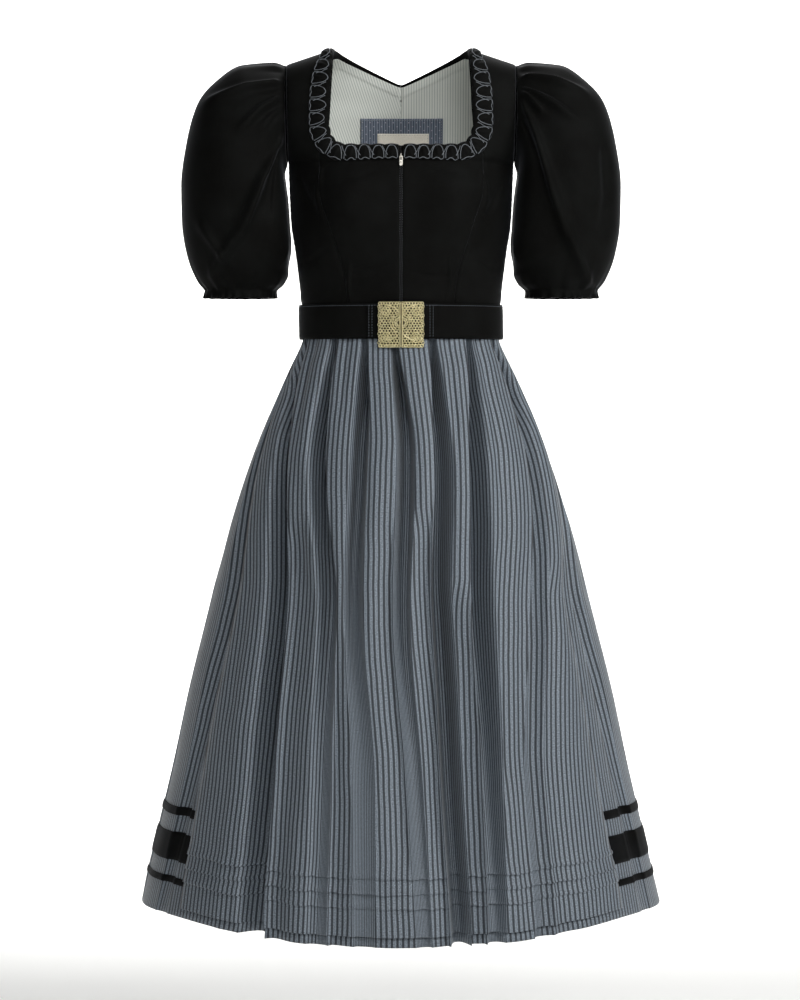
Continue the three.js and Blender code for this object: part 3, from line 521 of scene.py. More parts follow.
def striped_cotton(name, dark, light, repeat):
    """Yarn-dyed cotton: soft slate-grey bands between dark warp stripes, slubby, with a
    slight satin gloss. U runs across the cloth and V along it, in metres."""
    made, tree, shader = new_material(name)
    uv = add_node(tree, "UVMap", {"uv_map": "cloth"}).outputs[0]
    parts = add_node(tree, "SeparateXYZ", None, {0: uv})
    turns = add_node(tree, "Math", {"operation": "MULTIPLY"}, {0: parts.outputs[0], 1: 1 / repeat})
    wander = add_node(tree, "TexNoise", None, {"Vector": uv, "Scale": per_mm(60), "Detail": 2.0})
    shifted = add_node(
        tree, "Math", {"operation": "MULTIPLY_ADD"}, {0: wander.outputs[0], 1: 0.4, 2: turns.outputs[0]}
    )
    phase = add_node(tree, "Math", {"operation": "FRACT"}, {0: shifted.outputs[0]})
    centred = add_node(tree, "Math", {"operation": "SUBTRACT"}, {0: phase.outputs[0], 1: 0.5})
    away = add_node(tree, "Math", {"operation": "ABSOLUTE"}, {0: centred.outputs[0]})
    band = add_node(
        tree,
        "MapRange",
        {"interpolation_type": "SMOOTHSTEP"},
        {"Value": away.outputs[0], "From Min": 0.1, "From Max": 0.38},
    )
    # A thin greyer thread runs down the middle of each light band.
    thread = add_node(
        tree,
        "MapRange",
        {"interpolation_type": "SMOOTHSTEP"},
        {"Value": away.outputs[0], "From Min": 0.36, "From Max": 0.47, "To Max": 0.6},
    )
    # Slubs: yarns are 0.3 mm thick and uneven along their length, drawn at 0.8 by 1.6 mm.
    stretched = add_node(tree, "Mapping", None, {"Vector": uv, "Scale": (per_mm(0.8), per_mm(1.6), 1)})
    slub = add_node(tree, "TexNoise", None, {"Vector": stretched.outputs[0], "Scale": 1.0, "Detail": 3.0})
    lighter = mixed(tree, thread.outputs[0], light, tuple(0.45 * c for c in light))
    base = mixed(tree, band.outputs[0], dark, lighter)
    grain = add_node(
        tree,
        "MapRange",
        None,
        {"Value": slub.outputs[0], "From Min": 0.38, "From Max": 0.62, "To Min": 0.5, "To Max": 1.42},
    )
    shaded = add_node(tree, "VectorMath", {"operation": "SCALE"}, {0: base, "Scale": grain.outputs[0]})
    tree.links.new(shaded.outputs[0], shader.inputs["Base Color"])
    relief = add_node(tree, "Bump", None, {"Strength": 0.3, "Distance": 0.00035, "Height": slub.outputs[0]})
    tree.links.new(relief.outputs[0], shader.inputs["Normal"])
    shader.inputs["Roughness"].default_value = 0.62
    shader.inputs["Specular IOR Level"].default_value = 0.35
    shader.inputs["Sheen Weight"].default_value = 0.12
    shader.inputs["Sheen Roughness"].default_value = 0.5
    return made


def pinstriped_lining(name, dark, light):
    """Plain-woven lining cotton, matt cream, with a hair-fine grey stripe every 3.5 mm."""
    made, tree, shader = new_material(name)
    uv = add_node(tree, "UVMap", {"uv_map": "cloth"}).outputs[0]
    parts = add_node(tree, "SeparateXYZ", None, {0: uv})
    turns = add_node(tree, "Math", {"operation": "MULTIPLY"}, {0: parts.outputs[0], 1: per_mm(3.5)})
    phase = add_node(tree, "Math", {"operation": "PINGPONG"}, {0: turns.outputs[0], 1: 0.5})
    line = add_node(
        tree,
        "MapRange",
        {"interpolation_type": "SMOOTHSTEP"},
        {"Value": phase.outputs[0], "From Min": 0.06, "From Max": 0.2},
    )
    # Plain weave is 0.4 mm, and is drawn at 1.1 mm.
    weave = add_node(tree, "TexNoise", None, {"Vector": uv, "Scale": per_mm(1.1), "Detail": 1.0})
    colour = mixed(tree, line.outputs[0], dark, light)
    relief = add_node(tree, "Bump", None, {"Strength": 0.2, "Distance": 0.0003, "Height": weave.outputs[0]})
    tree.links.new(colour, shader.inputs["Base Color"])
    tree.links.new(relief.outputs[0], shader.inputs["Normal"])
    shader.inputs["Roughness"].default_value = 0.85
    shader.inputs["Specular IOR Level"].default_value = 0.2
    return made


def printed_patch_cotton(name, dark, light, dot):
    """Printed cotton, matt: blue stripes 3.4 mm apart, with small pale dots in staggered rows."""
    made, tree, shader = new_material(name)
    uv = add_node(tree, "UVMap", {"uv_map": "cloth"}).outputs[0]
    parts = add_node(tree, "SeparateXYZ", None, {0: uv})
    turns = add_node(tree, "Math", {"operation": "MULTIPLY"}, {0: parts.outputs[0], 1: per_mm(3.4)})
    phase = add_node(tree, "Math", {"operation": "PINGPONG"}, {0: turns.outputs[0], 1: 0.5})
    band = add_node(
        tree,
        "MapRange",
        {"interpolation_type": "SMOOTHSTEP"},
        {"Value": phase.outputs[0], "From Min": 0.12, "From Max": 0.3},
    )
    cloth = mixed(tree, band.outputs[0], dark, light)
    # Dots in cells of 7.4 mm: a Voronoi without randomness, turned to stagger its rows.
    turned = add_node(tree, "Mapping", None, {"Vector": uv, "Rotation": (0, 0, math.radians(45))})
    cells = add_node(
        tree, "TexVoronoi", None, {"Vector": turned.outputs[0], "Scale": per_mm(7.4), "Randomness": 0.0}
    )
    away = cells.outputs["Distance"]
    spot = add_node(
        tree,
        "MapRange",
        None,
        {"Value": away, "From Min": 0.08, "From Max": 0.13, "To Min": 0.75, "To Max": 0.0},
    )
    tree.links.new(mixed(tree, spot.outputs[0], cloth, dot), shader.inputs["Base Color"])
    weave = add_node(tree, "TexNoise", None, {"Vector": uv, "Scale": per_mm(1.0), "Detail": 1.0})
    relief = add_node(
        tree, "Bump", None, {"Strength": 0.25, "Distance": 0.0003, "Height": weave.outputs[0]}
    )
    tree.links.new(relief.outputs[0], shader.inputs["Normal"])
    shader.inputs["Roughness"].default_value = 0.8
    return made


def woven_plain(name, colour, rough, thread_mm):
    """A plain narrow weave or twisted thread, matt, its yarns lit unevenly."""
    made, tree, shader = new_material(name)
    place = add_node(tree, "TexCoord").outputs["Object"]
    weave = add_node(tree, "TexNoise", None, {"Vector": place, "Scale": per_mm(thread_mm), "Detail": 2.0})
    tone = add_node(tree, "MapRange", None, {"Value": weave.outputs[0], "From Min": 0.3, "From Max": 0.7})
    tree.links.new(
        mixed(tree, tone.outputs[0], tuple(0.82 * c for c in colour), colour), shader.inputs["Base Color"]
    )
    relief = add_node(tree, "Bump", None, {"Strength": 0.3, "Distance": 0.0003, "Height": weave.outputs[0]})
    tree.links.new(relief.outputs[0], shader.inputs["Normal"])
    shader.inputs["Roughness"].default_value = rough
    return made


def cast_metal(name, colour, recess, rough):
    """Cast and tumbled metal: bright where it is rubbed, duller where tarnish stays."""
    made, tree, shader = new_material(name)
    place = add_node(tree, "TexCoord").outputs["Object"]
    tarnish = add_node(tree, "TexNoise", None, {"Vector": place, "Scale": per_mm(5), "Detail": 4.0})
    # Casting grain is 0.15 mm, and is drawn at 0.6 mm.
    grain = add_node(tree, "TexNoise", None, {"Vector": place, "Scale": per_mm(0.6), "Detail": 1.0})
    share = add_node(
        tree, "MapRange", None, {"Value": tarnish.outputs[0], "From Min": 0.38, "From Max": 0.62}
    )
    tree.links.new(mixed(tree, share.outputs[0], recess, colour), shader.inputs["Base Color"])
    dull = add_node(
        tree,
        "MapRange",
        None,
        {"Value": tarnish.outputs[0], "To Min": rough + 0.15, "To Max": rough - 0.08},
    )
    tree.links.new(dull.outputs[0], shader.inputs["Roughness"])
    relief = add_node(tree, "Bump", None, {"Strength": 0.2, "Distance": 0.0002, "Height": grain.outputs[0]})
    tree.links.new(relief.outputs[0], shader.inputs["Normal"])
    shader.inputs["Metallic"].default_value = 1.0
    return made


def studio_paper(name, colour, glow):
    """A matt seamless paper sweep, lit evenly."""
    made, _, shader = new_material(name)
    shader.inputs["Base Color"].default_value = (*colour, 1)
    shader.inputs["Roughness"].default_value = 1.0
    shader.inputs["Specular IOR Level"].default_value = 0.0
    shader.inputs["Emission Color"].default_value = (1, 1, 1, 1)
    shader.inputs["Emission Strength"].default_value = glow
    return made


def finishes():
    """Each finish by its name: the function that makes it, and what that is given."""
    tones = bpy.context.scene.dirndl_colours
    repeat = bpy.context.scene.dirndl_sizes.stripe_repeat
    return {
        "black_cotton_velvet": (cotton_velvet, tones.velvet, linear("#0c0d0c"), 0.16),
        "black_velvet_ribbon": (cotton_velvet, tones.velvet, linear("#0e0f10"), 0.07),
        "striped_yarn_dyed_cotton": (striped_cotton, tones.cotton_dark, tones.cotton_light, repeat),
        "pinstriped_lining_cotton": (pinstriped_lining, linear("#aeb3b0"), tones.lining),
        "printed_blue_cotton": (printed_patch_cotton, linear("#3f4756"), tones.patch, linear("#b9b6c4")),
        "plain_woven_label": (woven_plain, tones.label, 0.6, 0.9),
        "grey_twisted_cord": (woven_plain, linear("#63686d"), 0.6, 0.8),
        # Grey rather than black: this thread's colour is a painted highlight of the zip seam's edge catching
        # light.
        "black_sewing_thread": (woven_plain, linear("#4a4d50"), 0.5, 0.6),
        "grey_sewing_thread": (woven_plain, linear("#5d646c"), 0.7, 0.6),
        "cream_sewing_thread": (woven_plain, linear("#a9aca6"), 0.7, 0.6),
        "black_zip_tape": (woven_plain, linear("#15161a"), 0.8, 0.8),
        "aged_brass_casting": (cast_metal, tones.brass, linear("#c3b98f"), 0.34),
        "darkened_brass_recess": (cast_metal, linear("#2a2416"), linear("#15120b"), 0.7),
        "zinc_alloy_zip": (cast_metal, linear("#d8d5cc"), linear("#a9a69c"), 0.3),
    }


MATERIALS = {}


def material(name):
    """The finished material of that name, made when it is first asked for."""
    if name not in MATERIALS:
        maker, *values = finishes()[name]
        MATERIALS[name] = maker(name, *values)
    return MATERIALS[name]


# ---------------------------------------------------------------------------------------
# Making pieces


def new_object(name, bm):
    """The mesh of a bmesh as an object of the scene, shaded smooth."""
    mesh = bpy.data.meshes.new(name)
    bm.to_mesh(mesh)
    bm.free()
    mesh.shade_smooth()
    made = bpy.data.objects.new(name, mesh)
    bpy.context.scene.collection.objects.link(made)
    return made


def cloth_grid(name, points, uvs, inside, closed=False):
    """Cloth as a grid of quads, each point carried to its place in millimetres. Its faces
    look away from the point "inside". A closed grid's last column meets its first."""
    rows, columns = len(points), len(points[0])
    bm = bmesh.new()
    layer = bm.loops.layers.uv.new("cloth")
    bmesh.ops.create_grid(bm, x_segments=columns - 1, y_segments=rows - 1, size=1)
    cells = {}
    for vert in bm.verts:
        c = round((vert.co.x + 1) / 2 * (columns - 1))
        r = round((vert.co.y + 1) / 2 * (rows - 1))
        cells[vert] = (r, c)
    for face in bm.faces:
        for loop in face.loops:
            r, c = cells[loop.vert]
            loop[layer].uv = uvs[r][c]
    for vert, (r, c) in cells.items():
        vert.co = Vector(points[r][c]) * MM
    bm.normal_update()
    middle = Vector(inside) * MM
    outward = sum(face.normal.dot(face.calc_center_median() - middle) for face in bm.faces)
    if outward < 0:
        bmesh.ops.reverse_faces(bm, faces=bm.faces)
    if closed:
        bmesh.ops.remove_doubles(bm, verts=bm.verts, dist=0.00002)
    return new_object(name, bm)


def thicken(piece, thickness, lining=None):
    """Gives cloth its wall, on the inner side, and there another finish if it has one."""
    wall = piece.modifiers.new("Wall", "SOLIDIFY")
    wall.thickness = thickness
    wall.offset = -1
    if lining:
        piece.data.materials.append(material(lining))
        wall.material_offset = 1
    return piece


def dress(piece, finish, nodes=(), body="dress"):
    """Gives a piece its finish and its place in the frame."""
    if piece.data.materials:
        piece.data.materials[0] = material(finish)
    else:
        piece.data.materials.append(material(finish))
    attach(piece, body)
    if nodes:
        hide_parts(*nodes)
    return piece


def run_lengths(line):
    """The way along a line of points, from its first to each of them."""
    along = [0.0]
    for before, here in zip(line, line[1:]):
        along.append(along[-1] + (Vector(here) - Vector(before)).length)
    return along


def flat_uvs(points):
    """U and V in metres by the way along the rows and down the columns from the middle."""
    middle, centre = len(points) // 2, len(points[0]) // 2
    down = run_lengths([row[centre] for row in points])
    uvs = []
    for row, v in zip(points, down):
        along = run_lengths(row)
        uvs.append([((u - along[centre]) * MM, (v - down[middle]) * MM) for u in along])
    return uvs


def wires(name, paths, radius, rings=False, sides=1):
    """Thin round wires or cords along paths of points in millimetres."""
    curve = bpy.data.curves.new(name, "CURVE")
    curve.dimensions = "3D"
    curve.bevel_depth = radius * MM
    curve.bevel_resolution = sides
    curve.use_fill_caps = True
    for path in paths:
        spline = curve.splines.new("POLY")
        spline.points.add(len(path) - 1)
        for point, place in zip(spline.points, path):
            point.co = (*(Vector(place) * MM), 1)
        spline.use_cyclic_u = rings
        spline.use_smooth = True
    made = bpy.data.objects.new(name, curve)
    bpy.context.scene.collection.objects.link(made)
    return made


def stitches(name, paths, length, gap, width):
    """Rows of small raised stitches along paths of points in millimetres."""
    bm = bmesh.new()
    for path in paths:
        carried = 0.0
        wanted = gap / 2
        for k in range(len(path) - 1):
            a, b = Vector(path[k]), Vector(path[k + 1])
            reach = (b - a).length
            while reach > 0 and carried + reach >= wanted + length / 2:
                place = a.lerp(b, clamp((wanted + length / 2 - carried) / reach, 0, 1))
                turn = Vector((0, 0, 1)).rotation_difference((b - a).normalized()).to_matrix().to_4x4()
                seat = Matrix.Translation(place * MM) @ turn
                bmesh.ops.create_icosphere(
                    bm,
                    subdivisions=1,
                    radius=1,
                    matrix=seat @ Matrix.Diagonal((width * MM / 2, width * MM / 2, length * MM / 2, 1)),
                )
                wanted += length + gap
            carried += reach
    return new_object(name, bm)


# ---------------------------------------------------------------------------------------
# Form of the bodice


def crown(u, z):
    """Depth of a cross-section at a share of its half width: fuller above the waist."""
    power = lerp(2, 2.2, clamp((z + 305) / 60, 0, 1))
    return (1 - clamp(abs(u), 0, 1) ** power) ** (1 / power)


def ridge_z(x):
    """Level of the shoulder seam, which falls from the neck to the armhole."""
    beyond = abs(x) - NECK_POINT_X
    return SHOULDER_Z - (SHOULDER_SLOPE if beyond > 0 else 0.5) * beyond


def armhole_depth(z):
    """Half depth of the armhole, round at the bottom and upright above its middle."""
    if z >= ARMHOLE_MIDDLE_Z:
        return ARMHOLE_HALF_DEPTH
    t = (ARMHOLE_MIDDLE_Z - z) / (ARMHOLE_MIDDLE_Z - ARMPIT_Z)
    return ARMHOLE_HALF_DEPTH * math.sqrt(max(0, 1 - t * t))


def shoulder_arch(x, z):
    """How far front and back lean together towards the shoulder seam: 1 is not at all."""
    if z <= ARMHOLE_MIDDLE_Z:
        return 1
    a = clamp((z - ARMHOLE_MIDDLE_Z) / (ridge_z(x) - ARMHOLE_MIDDLE_Z), 0, 1)
    return (1 - a**2.4) ** (1 / 2.4)


def bust(x, z):
    height, to_side, level, half_width, half_height = BUST
    return height * bump(abs(x) - to_side, half_width) * bump(z - level, half_height)


def body_y(x, z, back):
    """Depth of the bodice at a place on its front or back."""
    reach = column(BODY, 1, z)
    depth = column(BODY, 3 if back else 2, z) + (0 if back else bust(x, z))
    edge = min(armhole_depth(z), depth)
    y = edge + (depth - edge) * crown(x / reach, z)
    return max(0.2, y * shoulder_arch(x, z)) * (1 if back else -1)


def body_normal(x, z, back):
    """Outward direction of the bodice at a place on it."""
    e = 0.6
    across = (body_y(x + e, z, back) - body_y(x - e, z, back)) / (2 * e)
    up = (body_y(x, z, back) - body_y(x, z - e, back)) / e
    across = clamp(across, -6, 6)
    up = clamp(up, -4, 4)
    if back:
        return Vector((-across, 1, -up)).normalized()
    return Vector((across, -1, up)).normalized()


def body_point(x, z, back, lift):
    return Vector((x, body_y(x, z, back), z)) + body_normal(x, z, back) * lift


def side_reach(z):
    return column(BODY, 1, z)


def back_top_z(x):
    """Top edge of the back: a V with a rounded point, and the shoulder seams beside it."""
    ax = abs(x)
    if ax >= NECK_POINT_X:
        return ridge_z(x)
    slope = (SHOULDER_Z - BACK_NECK_Z) / (NECK_POINT_X - BACK_NECK_ROUND)
    if ax <= BACK_NECK_ROUND:
        return BACK_NECK_Z + slope * ax * ax / (2 * BACK_NECK_ROUND)
    return min(SHOULDER_Z, BACK_NECK_Z + slope * (ax - BACK_NECK_ROUND / 2))


def panel_places(inner, outer, top, columns, low_rows, top_rows, low, share_limit=1.0):
    """Rows of (x, z) over a bodice panel, from its hem to its top edge."""
    rows = []
    spreads = [1 - (1 - c / columns) ** 1.35 for c in range(columns + 1)]
    for r in range(low_rows):
        z = lerp(BODICE_HEM_Z, low, r / (low_rows - (1 if top is None else 0)))
        rows.append([(lerp(inner(z), outer(z), spread), z) for spread in spreads])
    if top is None:
        return rows
    for r in range(top_rows + 1):
        share = share_limit * (1 - (1 - r / top_rows) ** 1.8)
        nominal = lerp(ARMHOLE_MIDDLE_Z, SHOULDER_Z - 8, share)
        row = []
        for spread in spreads:
            x = lerp(inner(nominal), outer(nominal), spread)
            row.append((x, lerp(ARMHOLE_MIDDLE_Z, top(x), share)))
        rows.append(row)
    return rows


def panel_points(places, side, back, creases, under=0.0):
    """Carries a panel's places onto the bodice: edges roll in at the seams and pucker, and
    an allowance "under" wide lies below the next panel."""
    points = []
    for row in places:
        first, last = row[0][0] + under, row[-1][0]
        line = []
        for x, z in row:
            edge = min(x - first, last - x)
            roll = 0.3 if back else 1.3
            seam = -roll * bump(edge, 1.8) if edge > 0 else -1.3 + 0.8 * edge
            pucker = 0.28 * math.sin(z * 0.62 + 2 * math.sin(z * 0.13)) * bump(edge - 3.5, 4)
            fold = crease_height(x, z, creases)
            lift = seam + pucker * shoulder_arch(x, z) + fold
            near_ridge = clamp((1 - (z - ARMHOLE_MIDDLE_Z) / 84) * 3, 0, 1) if z > ARMHOLE_MIDDLE_Z else 1
            point = body_point(x, z, back, lift * near_ridge)
            point.x = clamp(point.x, first - under, max(last, first))
            point.y = max(point.y, 0.2) if back else min(point.y, -0.2)
            line.append((side * point.x, point.y, point.z))
        points.append(line)
    return points


class DIRNDL_OT_bodice(bpy.types.Operator):
    """Cuts the six velvet panels of the bodice"""

    bl_idname = "dirndl.bodice"
    bl_label = "Bodice"

    def execute(self, context):
        wall = context.scene.dirndl_sizes.velvet
        side_places = panel_places(
            lambda z: column(FRONT_SEAM, 1, z) - UNDERLAP, side_reach, ridge_z, 34, 96, 44, ARMHOLE_MIDDLE_Z
        )
        centre_places = panel_places(
            lambda z: SEAM_GAP, lambda z: column(FRONT_SEAM, 1, z), None, 40, 90, 0, FRONT_NECK_Z
        )
        back_places = panel_places(lambda z: 0, side_reach, back_top_z, 56, 80, 44, ARMHOLE_MIDDLE_Z)
        back_creases = [
            ([(30, -300), (70, -292), (120, -300)], 1.0, 6),
            ([(20, -262), (60, -254), (110, -262)], 1.2, 7),
            ([(100, -120), (92, -170), (84, -220)], 1.0, 9),
        ]
        groups = (
            ("front_side", side_places, False, BODICE_CREASES, (0.11, 0.5), 0.034),
            ("front_centre", centre_places, False, BODICE_CREASES, (0.12, 0.26), 0.026),
            ("back", back_places, True, {1: back_creases, -1: back_creases}, (0.21, 0.4), 0.066),
        )
        for kind, places, back, creases, flat, area in groups:
            for word, side in (("left", 1), ("right", -1)):
                under = UNDERLAP if kind == "front_side" else 0
                points = panel_points(places, side, back, creases[side], under)
                piece = cloth_grid(f"velvet_{kind}_{word}", points, flat_uvs(points), INSIDE_BODICE)
                dress(piece, "black_cotton_velvet", [f"bodice_{kind}_{word}"])
                thicken(piece, wall, None if back else "pinstriped_lining_cotton")
        return {"FINISHED"}


# ---------------------------------------------------------------------------------------
# Lining, patch and label


def laid_cloth(name, box, depth, columns, rows, roll):
    """A rectangle of cloth laid on the lining, its turned edges rolled down by "roll"."""
    x0, x1, z0, z1 = box
    points, uvs = [], []
    for r in range(rows + 1):
        z = lerp(z0, z1, r / rows)
        line, marks = [], []
        for c in range(columns + 1):
            x = lerp(x0, x1, c / columns)
            edge = min(x - x0, x1 - x, z - z0, z1 - z)
            wave = 0.25 * math.sin(x * 0.21 + z * 0.13) + 0.2 * math.sin(z * 0.31 - x * 0.08)
            line.append(tuple(body_point(x, z, True, -depth - wave + roll * bump(edge, 1.1))))
            marks.append((x * MM, z * MM))
        points.append(line)
        uvs.append(marks)
    return cloth_grid(name, points, uvs, IN_FRONT_OF_BACK)


def outline_on_back(box, inset, depth):
    """A closed line inside a rectangle on the back of the bodice."""
    x0, x1, z0, z1 = (box[0] + inset, box[1] - inset, box[2] + inset, box[3] - inset)
    corners = [(x0, z0), (x1, z0), (x1, z1), (x0, z1), (x0, z0)]
    path = []
    for (ax, az), (bx, bz) in zip(corners, corners[1:]):
        for k in range(24):
            t = k / 24
            path.append(tuple(body_point(lerp(ax, bx, t), lerp(az, bz, t), True, -depth)))
    return path


class DIRNDL_OT_lining(bpy.types.Operator):
    """Lines the back and sews on the patch and its plain label"""

    bl_idname = "dirndl.lining"
    bl_label = "Lining, patch and label"

    def execute(self, context):
        wall = context.scene.dirndl_sizes.lining
        for word, side in (("left", 1), ("right", -1)):
            places = panel_places(
                lambda z: 0, lambda z: 0.94 * side_reach(z), back_top_z, 44, 60, 34, ARMHOLE_MIDDLE_Z, 0.93
            )
            points = []
            for row in places:
                line = []
                for x, z in row:
                    facing = 0.7 * bump(max(0, back_top_z(x) - 15 - z), 1.4) if z > -120 else 0
                    slack = 0.5 * math.sin(x * 0.09 + z * 0.05) + 0.4 * math.sin(z * 0.17)
                    seam = -0.4 * bump(x, 1.2)
                    depth = LINING_DEPTH + 0.4 + facing + slack * 0.5 - seam
                    point = body_point(x, z, True, -depth)
                    line.append((side * max(point.x, 0), point.y, point.z))
                points.append(line)
            # Straight grain at the centre and left, and falling outwards on the right half.
            lean = 0.0 if side > 0 else 0.34
            uvs = [[((x - lean * z) * side * MM, z * MM) for x, z in row] for row in places]
            piece = cloth_grid(f"lining_cotton_{word}", points, uvs, (0, 300, -200))
            dress(piece, "pinstriped_lining_cotton", [f"lining_back_{word}"])
            thicken(piece, wall)
        patch = laid_cloth("patch_cotton", PATCH, PATCH_DEPTH + 0.5, 64, 46, 1.2)
        dress(patch, "printed_blue_cotton", ["lining_patch"])
        thicken(patch, wall)
        label = laid_cloth("label_woven", LABEL, PATCH_DEPTH + 1.9, 40, 26, 0.5)
        dress(label, "plain_woven_label", ["label"])
        thicken(label, LABEL_WALL)
        lines = [
            outline_on_back(PATCH, 2.2, PATCH_DEPTH + 0.7),
            outline_on_back(LABEL, 1.8, PATCH_DEPTH + 2.3),
        ]
        thread = stitches("patch_stitches", lines, 2.4, 1.2, 0.5)
        dress(thread, "cream_sewing_thread")
        return {"FINISHED"}


# ---------------------------------------------------------------------------------------
# Neck trim


def trim_place(share, u):
    """(x, z) of a place on the trim: "share" along it and "u" across it from the neck."""
    steps = list(range(len(TRIM_PATH)))
    at = share * (len(TRIM_PATH) - 1)

    def read(k, q):
        return smooth_at(steps, [row[k] for row in TRIM_PATH], clamp(q, 0, len(TRIM_PATH) - 1))

    run = Vector((read(0, at + 0.05) - read(0, at - 0.05), read(1, at + 0.05) - read(1, at - 0.05)))
    run.normalize()
    out = Vector((-run.y, run.x))
    reach = u * read(2, at)
    x = read(0, at) + out.x * reach
    z = min(read(1, at) + out.y * reach, ridge_z(x) - 0.4)
    return x, z


def trim_shares(count):
    """Shares along the trim at even distances, from the shoulder to the centre."""
    fine = 240
    lengths = [0.0]
    before = Vector(trim_place(0, 0.5))
    for k in range(1, fine + 1):
        here = Vector(trim_place(k / fine, 0.5))
        lengths.append(lengths[-1] + (here - before).length)
        before = here
    shares = []
    k = 0
    for i in range(count):
        wanted = lengths[-1] * i / (count - 1)
        while k < fine - 1 and lengths[k + 1] < wanted:
            k += 1
        t = (wanted - lengths[k]) / (lengths[k + 1] - lengths[k])
        shares.append((k + t) / fine)
    return shares


def trim_height(turn, u):
    """Height of the ruched velvet: a heart-like puff between pinches, and its scallop."""
    phase = turn % 1.0
    puff = abs(math.sin(math.pi * phase))
    across = math.sin(math.pi * clamp(u, 0, 1)) ** 0.7
    pinch = bump(phase - 0.5, 0.09) * bump(u - 0.08, 0.16)
    middle = bump(min(phase, 1 - phase), 0.1) * bump(u - 0.5, 0.2)
    crumple = 0.35 * math.sin(19 * phase + 7 * u) * across
    height = 0.9 + across * (0.9 + 3.4 * puff) - 2.0 * pinch * across - 0.6 * middle + crumple
    return height, (1.6 * puff - 0.8)


class DIRNDL_OT_neck_trim(bpy.types.Operator):
    """Ruches the velvet trim of the neck and lays its cord on it"""

    bl_idname = "dirndl.neck_trim"
    bl_label = "Neck trim"

    def execute(self, context):
        columns, rows = 300, 20
        shares = trim_shares(columns)
        for word, side in (("left", 1), ("right", -1)):
            points = []
            for r in range(rows + 1):
                u = r / rows
                line = []
                for i, share in enumerate(shares):
                    turn = TRIM_PUFFS * i / (columns - 1)
                    height, scallop = trim_height(turn, u)
                    spread = u + (2 * u - 1) * scallop / TRIM_WIDTH
                    x, z = trim_place(share, spread)
                    rim = 1 - bump(min(u, 1 - u) * TRIM_WIDTH, 1.0)
                    point = body_point(x, z, False, TRIM_SEAT + height * rim)
                    line.append((side * max(point.x, 0.6), point.y, point.z))
                points.append(line)
            piece = cloth_grid(f"trim_velvet_{word}", points, flat_uvs(points), INSIDE_BODICE)
            dress(piece, "black_cotton_velvet", [f"neck_trim_{word}"])
            thicken(piece, TRIM_WALL)
            dress(self.cords(word, side, shares, columns), "grey_twisted_cord")
        return {"FINISHED"}

    @staticmethod
    def cords(word, side, shares, columns):
        """Arches of cord over every puff, and crossing ties between them."""
        paths = []

        def lay(turn, u):
            i = clamp(turn / TRIM_PUFFS * (columns - 1), 0, columns - 1)
            share = lerp(shares[int(i)], shares[min(int(i) + 1, columns - 1)], i - int(i))
            height, _ = trim_height(turn, u)
            x, z = trim_place(share, u)
            point = body_point(x, z, False, TRIM_SEAT + height + 0.35)
            return (side * max(point.x, 0.8), point.y, point.z)

        for k in range(TRIM_PUFFS):
            lean = 0.08 * (uneven(k, 1) - 0.5)
            top = 0.12 + 0.1 * uneven(k, 2)
            arch = []
            for s in range(15):
                a = math.pi * s / 14
                turn = k + 0.5 - 0.43 * math.cos(a) + lean * math.sin(a)
                arch.append(lay(turn, 0.92 - (0.92 - top) * math.sin(a) ** 0.8))
            paths.append(arch)
            paths.append([lay(k + lerp(0.12, 0.88, s / 8), 0.93 + 0.03 * math.sin(s)) for s in range(9)])
            if k:
                paths.append([lay(k + lerp(-0.2, 0.2, s / 6), lerp(0.2, 0.78, s / 6)) for s in range(7)])
        return wires(f"trim_cord_{word}", paths, 0.52)


# ---------------------------------------------------------------------------------------
# Sleeves


def sleeve_ring(index):
    """A ring of the sleeve at a place between two rows of its table."""
    steps = list(range(len(SLEEVE)))
    row = [smooth_at(steps, [ring[k] for ring in SLEEVE], index) for k in range(6)]
    along = Vector((row[0] - row[2], row[1] - row[3]))
    half = along.length / 2
    along.normalize()
    return (row[0] + row[2]) / 2, (row[1] + row[3]) / 2, along, half, row[4], row[5]


def gather_height(a, v, folds):
    """Height of gathers that run from one end of the sleeve and die out along it."""
    total = 0
    for centre, width, length, height in folds:
        off = (a - centre + math.pi) % (2 * math.pi) - math.pi
        if abs(off) < 3 * width and v < length:
            total += height * bump(off, width) * (1 - v / length) ** 1.3 * min(1, 0.25 + v / 0.4)
    return total


def gathers(count, start, end, first, salt, spans):
    """Centre, half width, length and height of each gather between two bearings. The spans
    are the least value and the spread of the last three, and heights go in and out in turn."""
    folds = []
    for k in range(count):
        centre = lerp(start, end, (k + first + 0.5 * uneven(k, salt)) / count)
        width, length, height = (
            least + spread * uneven(k, salt + n) for n, (least, spread) in enumerate(spans, 2)
        )
        folds.append((centre, width, length, height if k % 2 else -height))
    return folds


